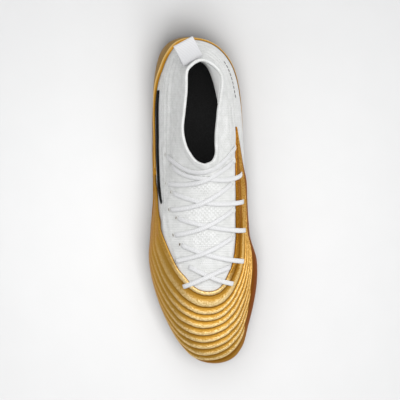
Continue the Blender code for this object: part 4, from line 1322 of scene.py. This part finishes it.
def makeFootbed():
    turn = np.linspace(0, 2, footbed["columns"], endpoint=False)
    rings = []
    for row in footbedSide:
        ring = lastPoint(turn, 0.0)
        reach = shoe["wall"] + 3 * shoe["clearance"] + row.inset * footbed["thickness"]
        ring[:, 0] -= reach * np.sin(turn * pi)
        ring[:, 1] -= reach * np.cos(turn * pi)
        base = featherHeight + plateRise(ring[:, 1]) + shoe["clearance"]
        ring[:, 2] = base + row.rise * footbed["thickness"]
        rings.append(ring)
    edge = rings[-1]
    middle = np.stack([outline(edge[:, 1])[0], edge[:, 1] * 0.985, edge[:, 2]], axis=-1)
    for step in range(1, footbed["rows"]):
        share = step / footbed["rows"]
        ring = edge + (middle - edge) * share
        away = (ring[:, 0] / dish["halfWidth"]) ** 2 + ((ring[:, 1] - dish["y"]) / dish["halfLength"]) ** 2
        base = featherHeight + plateRise(ring[:, 1]) + shoe["clearance"]
        ring[:, 2] = base + footbed["thickness"] - dish["depth"] * np.exp(-away)
        rings.append(ring)
    piece = makePiece("footbed", rings, bowlFaces(len(rings), len(turn)), [footbedBlack])
    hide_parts("insole")


makeFootbed()


# The padded lining at the medial back of the heel

pad = {
    "start": 0.0,
    "end": 0.44,
    "columns": 90,
    "rows": 30,
    "top": 0.955,  # level of its upper edge
    "depth": 0.86,  # levels down to its lower edge
    "full": 0.62,  # share of the depth where the bulge is full
    "lead": 0.06,
    "gap": 0.0004,
    # Plan of its inner edge, from the heel forwards
    "line": ((0.0006, 0.1270), (0.0048, 0.1240), (0.0085, 0.1183), (0.0124, 0.1075), (0.0160, 0.0915)),
}


def makeHeelPad():
    turn = np.linspace(pad["start"], pad["end"], pad["columns"])
    rim = outside(turn, 1.0, -shoe["wall"]) + collarMove(turn, 1.0)
    onLine = throughPoints(pad["line"], pad["columns"])
    front, back = [], []
    for step in range(pad["rows"]):
        share = step / (pad["rows"] - 1)
        level = pad["top"] - pad["depth"] * share
        wall = outside(turn, level, -shoe["wall"] - pad["gap"]) + collarMove(turn, level)
        bulge = float(smooth(0.0, pad["full"], share))
        face = wall.copy()
        face[:, :2] = rim[:, :2] + (onLine - rim[:, :2]) * bulge
        front.append(wall + (face - wall) * float(smooth(0.0, pad["lead"], share)))
        back.append(wall)
    grid = np.array(front + back[::-1])
    faces = tubeFaces(len(grid), len(turn))
    piece = makePiece("heelLining", grid, faces, [liningWhite])


makeHeelPad()
print("footbed and heel lining made")


# The sole plate and its studs

sole = {"columns": 320, "undersideRows": 40, "ribPitch": 0.0072, "ribHeight": 0.0007}
# Steps of the plate's side, top to bottom, in plate thicknesses
sideRows = table(
    "inset drop",
    (0.28, 0.00),
    (0.10, 0.03),
    (0.00, 0.16),
    (0.00, 0.38),
    (0.08, 0.44),
    (0.22, 0.48),
    (0.22, 0.60),
    (0.08, 0.64),
    (0.04, 0.70),
    (0.08, 0.84),
    (0.26, 0.92),
    (0.55, 0.98),
    (1.00, 1.00),
)


def makePlate():
    turn = np.linspace(0, 2, sole["columns"], endpoint=False)
    rings = []
    for row in sideRows:
        plan = plateRing(turn, row.inset * shoe["plateThickness"])
        z = featherHeight + plateRise(plan[:, 1]) - row.drop * shoe["plateThickness"]
        rings.append(np.column_stack([plan, z]))
    edge = rings[-1]
    middle = np.column_stack([outline(edge[:, 1])[0], edge[:, 1] * 0.97])
    for step in range(1, sole["undersideRows"]):
        share = step / sole["undersideRows"]
        plan = edge[:, :2] + (middle - edge[:, :2]) * share
        away = np.abs(plan[:, 0] - outline(plan[:, 1])[0])
        wave = 0.5 + 0.5 * np.cos(2 * pi * (plan[:, 1] + 0.25 * away) / sole["ribPitch"])
        keep = float(smooth(0.02, 0.10, share))
        z = featherHeight + plateRise(plan[:, 1]) - shoe["plateThickness"] + sole["ribHeight"] * wave * keep
        rings.append(np.column_stack([plan, z]))
    piece = makePiece("solePlate", rings, bowlFaces(len(rings), len(turn)), [goldPlate], sharp=radians(40))
    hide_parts("sole_plate")


makePlate()

stud = {"length": 0.019, "width": 0.0105, "sides": 48, "power": 3}
# Pairs of studs, a lateral and a medial one each: place, heading of the blade in degrees, and size
studPairs = table(
    "along across turn size",
    (-0.83, 0.42, -62, 0.78),
    (-0.64, 0.70, -80, 0.95),
    (-0.41, 0.74, -86, 1.00),
    (-0.18, 0.70, -96, 1.00),
    (0.55, 0.66, -84, 1.05),
    (0.83, 0.56, -66, 1.00),
)
# Taper of a stud from its tip to the plate
studSide = table(
    "rise size",
    (0.00, 0.50),
    (0.008, 0.55),
    (0.03, 0.59),
    (0.07, 0.62),
    (0.30, 0.69),
    (0.60, 0.78),
    (0.80, 0.85),
    (0.90, 0.91),
    (0.96, 0.97),
    (1.00, 1.04),
)


def makeStuds():
    ring = plateRing(np.linspace(1, 0, 64), 0.0)
    halves = ring[:, 0] - outline(ring[:, 1])[0]
    angle = np.linspace(0, 2 * pi, stud["sides"], endpoint=False)
    corners = np.abs(np.cos(angle)) ** stud["power"] + np.abs(np.sin(angle)) ** stud["power"]
    blade = np.column_stack([stud["length"] * np.cos(angle), stud["width"] * np.sin(angle)]) / 2
    blade = blade / corners[:, None] ** (1 / stud["power"])
    sides = stud["sides"]
    last = (len(studSide) - 1) * sides
    ends = [tuple(range(sides)), tuple(range(last, last + sides))]
    faces = [*gridFaces(len(studSide), sides, False, True), *ends]
    pairs = [(row, side) for row in studPairs for side in (-1, 1)]
    for number, (row, side) in enumerate(pairs, 1):
        y = row.along * halfLength
        centre = np.array([outline(y)[0] + side * row.across * np.interp(y, ring[:, 1], halves), y])
        heading = radians(side * row.turn)
        turned = blade @ np.array([[cos(heading), sin(heading)], [-sin(heading), cos(heading)]])
        rings = []
        for level in studSide:
            plan = centre + turned * level.size * row.size
            top = shoe["studHeight"] + plateRise(plan[:, 1]) - shoe["clearance"]
            rings.append(np.column_stack([plan, top * level.rise]))
        piece = makePiece(f"stud{number:02d}", rings, faces, [goldStud], sharp=radians(60))
        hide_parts(f"stud_{number:02d}")


makeStuds()
print("plate and studs made")


# Run of dark stitches on the medial heel

stitch = {"length": 0.0031, "gap": 0.0010, "radius": 0.00038, "steps": 9, "sides": 8}
# Where the run goes, as turn and level
stitchLine = ((0.166, 0.508), (0.205, 0.495), (0.244, 0.480), (0.277, 0.468), (0.304, 0.450))


def makeStitches():
    turn, level = throughPoints(stitchLine, 200).T
    path = outside(turn, level, knitRelief(turn, level, lastPoint(turn, level)) + stitch["radius"] / 2)
    run = np.concatenate([[0], np.cumsum(np.linalg.norm(np.diff(path, axis=0), axis=1))])
    parts = []
    start = 0.0
    while start + stitch["length"] < run[-1]:
        places = np.linspace(start, start + stitch["length"], stitch["steps"])
        line = np.stack([np.interp(places, run, path[:, k]) for k in range(3)], axis=-1)
        up = lastNormal(np.interp(places, run, turn), np.interp(places, run, level))
        along = np.gradient(line, axis=0)
        along = along / np.linalg.norm(along, axis=1, keepdims=True)
        across = np.cross(along, up)
        swell = np.sin(np.linspace(0.12, pi - 0.12, stitch["steps"]))[:, None] ** 0.5
        rows = []
        for k in range(stitch["sides"]):
            angle = 2 * pi * k / stitch["sides"]
            rows.append(line + (across * cos(angle) + up * sin(angle)) * stitch["radius"] * swell)
        parts.append((rows, tubeFaces(stitch["sides"], stitch["steps"])))
        start += stitch["length"] + stitch["gap"]
    piece = makePiece("heelStitches", *joinParts(parts), [threadDark])


makeStitches()
print("stitches made")


# Floor, light and camera

studio = {
    "floor": "#B4B4B4",
    "mottle": "#B1B1B1",
    "distance": 12.0,
    "frameWidth": 0.368,  # what the picture's 400 pixels span, in metres
    "tilt": radians(3.0),  # the camera leans this much to the lateral side
    "aimHeight": 0.030,
    "sky": "#F2F3F5",
    "skyStrength": 0.55,
}

# Area lamps: place, what they point at, size in metres, power in watts, what they light, and if that throws
# a shadow
lampRows = table(
    "name place target size power lit shadow",
    ("overhead softbox", (0.05, 0.15, 1.9), (0, 0, 0), 1.5, 27.5, "shoe", True),
    ("medial key", (1.5, 0.6, 1.1), (0, 0, 0.05), 0.7, 8.5, "shoe", True),
    ("lateral backdrop light", (-1.2, -0.2, 1.5), (-0.1, -0.1, 0), 0.9, 2.0, "floor", True),
    ("backdrop fill", (0.1, -0.4, 2.0), (0, 0, 0), 1.2, 58.0, "floor", False),
    ("middle fill", (-0.02, -0.01, 0.24), (-0.02, -0.01, 0), 0.22, 0.34, "floor", False),
    ("collar light", (-0.30, 0.10, 1.10), (0.012, 0.108, 0.08), 0.3, 12.0, "lining", True),
)


def makeStudio():
    mesh = bpy.data.meshes.new("floor")
    mesh.from_pydata([(-4, -4, 0), (4, -4, 0), (4, 4, 0), (-4, 4, 0)], [], [(0, 1, 2, 3)])
    floor = bpy.data.objects.new("floor", mesh)
    bpy.context.scene.collection.objects.link(floor)
    material, tree, shader = startMaterial("paper sweep, white", {"Roughness": 0.9})
    place = addNode(tree, "TexCoord", {}).outputs["Object"]
    paper = addNode(tree, "TexNoise", {"Vector": place, "Scale": 30.0, "Detail": 2.0}).outputs[0]
    shades = {6: hexColour(studio["floor"]), 7: hexColour(studio["mottle"])}
    colour = addNode(tree, "Mix", {0: paper, **shades}, data_type="RGBA")
    setInputs(tree, shader, {"Base Color": colour.outputs[2]})
    mesh.materials.append(material)

    lit = {name: bpy.data.collections.new("lit " + name) for name in ("shoe", "floor", "lining")}
    for item in bpy.context.scene.objects:
        if item.type == "MESH":
            lit["floor" if item is floor else "shoe"].objects.link(item)
    lit["lining"].objects.link(bpy.data.objects["heelLining"])
    nothing = bpy.data.collections.new("no shadow")
    for row in lampRows:
        light = bpy.data.lights.new(row.name, "AREA")
        light.shape = "SQUARE"
        light.size = row.size
        light.energy = row.power
        lamp = bpy.data.objects.new(row.name, light)
        bpy.context.scene.collection.objects.link(lamp)
        lamp.location = row.place
        lamp.rotation_mode = "QUATERNION"
        lamp.rotation_quaternion = (Vector(row.target) - Vector(row.place)).to_track_quat("-Z", "Y")
        lamp.visible_camera = False
        lamp.light_linking.receiver_collection = lit[row.lit]
        if not row.shadow:
            lamp.light_linking.blocker_collection = nothing

    world = bpy.data.worlds.new("studio")
    bpy.context.scene.world = world
    world.use_nodes = True
    back = world.node_tree.nodes["Background"]
    setInputs(world.node_tree, back, {"Color": hexColour(studio["sky"]), "Strength": studio["skyStrength"]})

    camera = bpy.data.objects.new("camera", bpy.data.cameras.new("camera"))
    bpy.context.scene.collection.objects.link(camera)
    camera.data.sensor_width = 36.0
    camera.data.lens = 36.0 * studio["distance"] / studio["frameWidth"]
    camera.data.clip_start = 0.1
    camera.data.clip_end = 50.0
    toward = np.array([-sin(studio["tilt"]), 0.0, cos(studio["tilt"])])
    aim = np.array([0.0, 0.0, studio["aimHeight"]]) + shift
    camera.location = aim + toward * studio["distance"]
    camera.rotation_euler = (0.0, -studio["tilt"], 0.0)
    bpy.context.scene.camera = camera
    bpy.context.scene.view_settings.view_transform = "Standard"


makeStudio()
print("studio made")
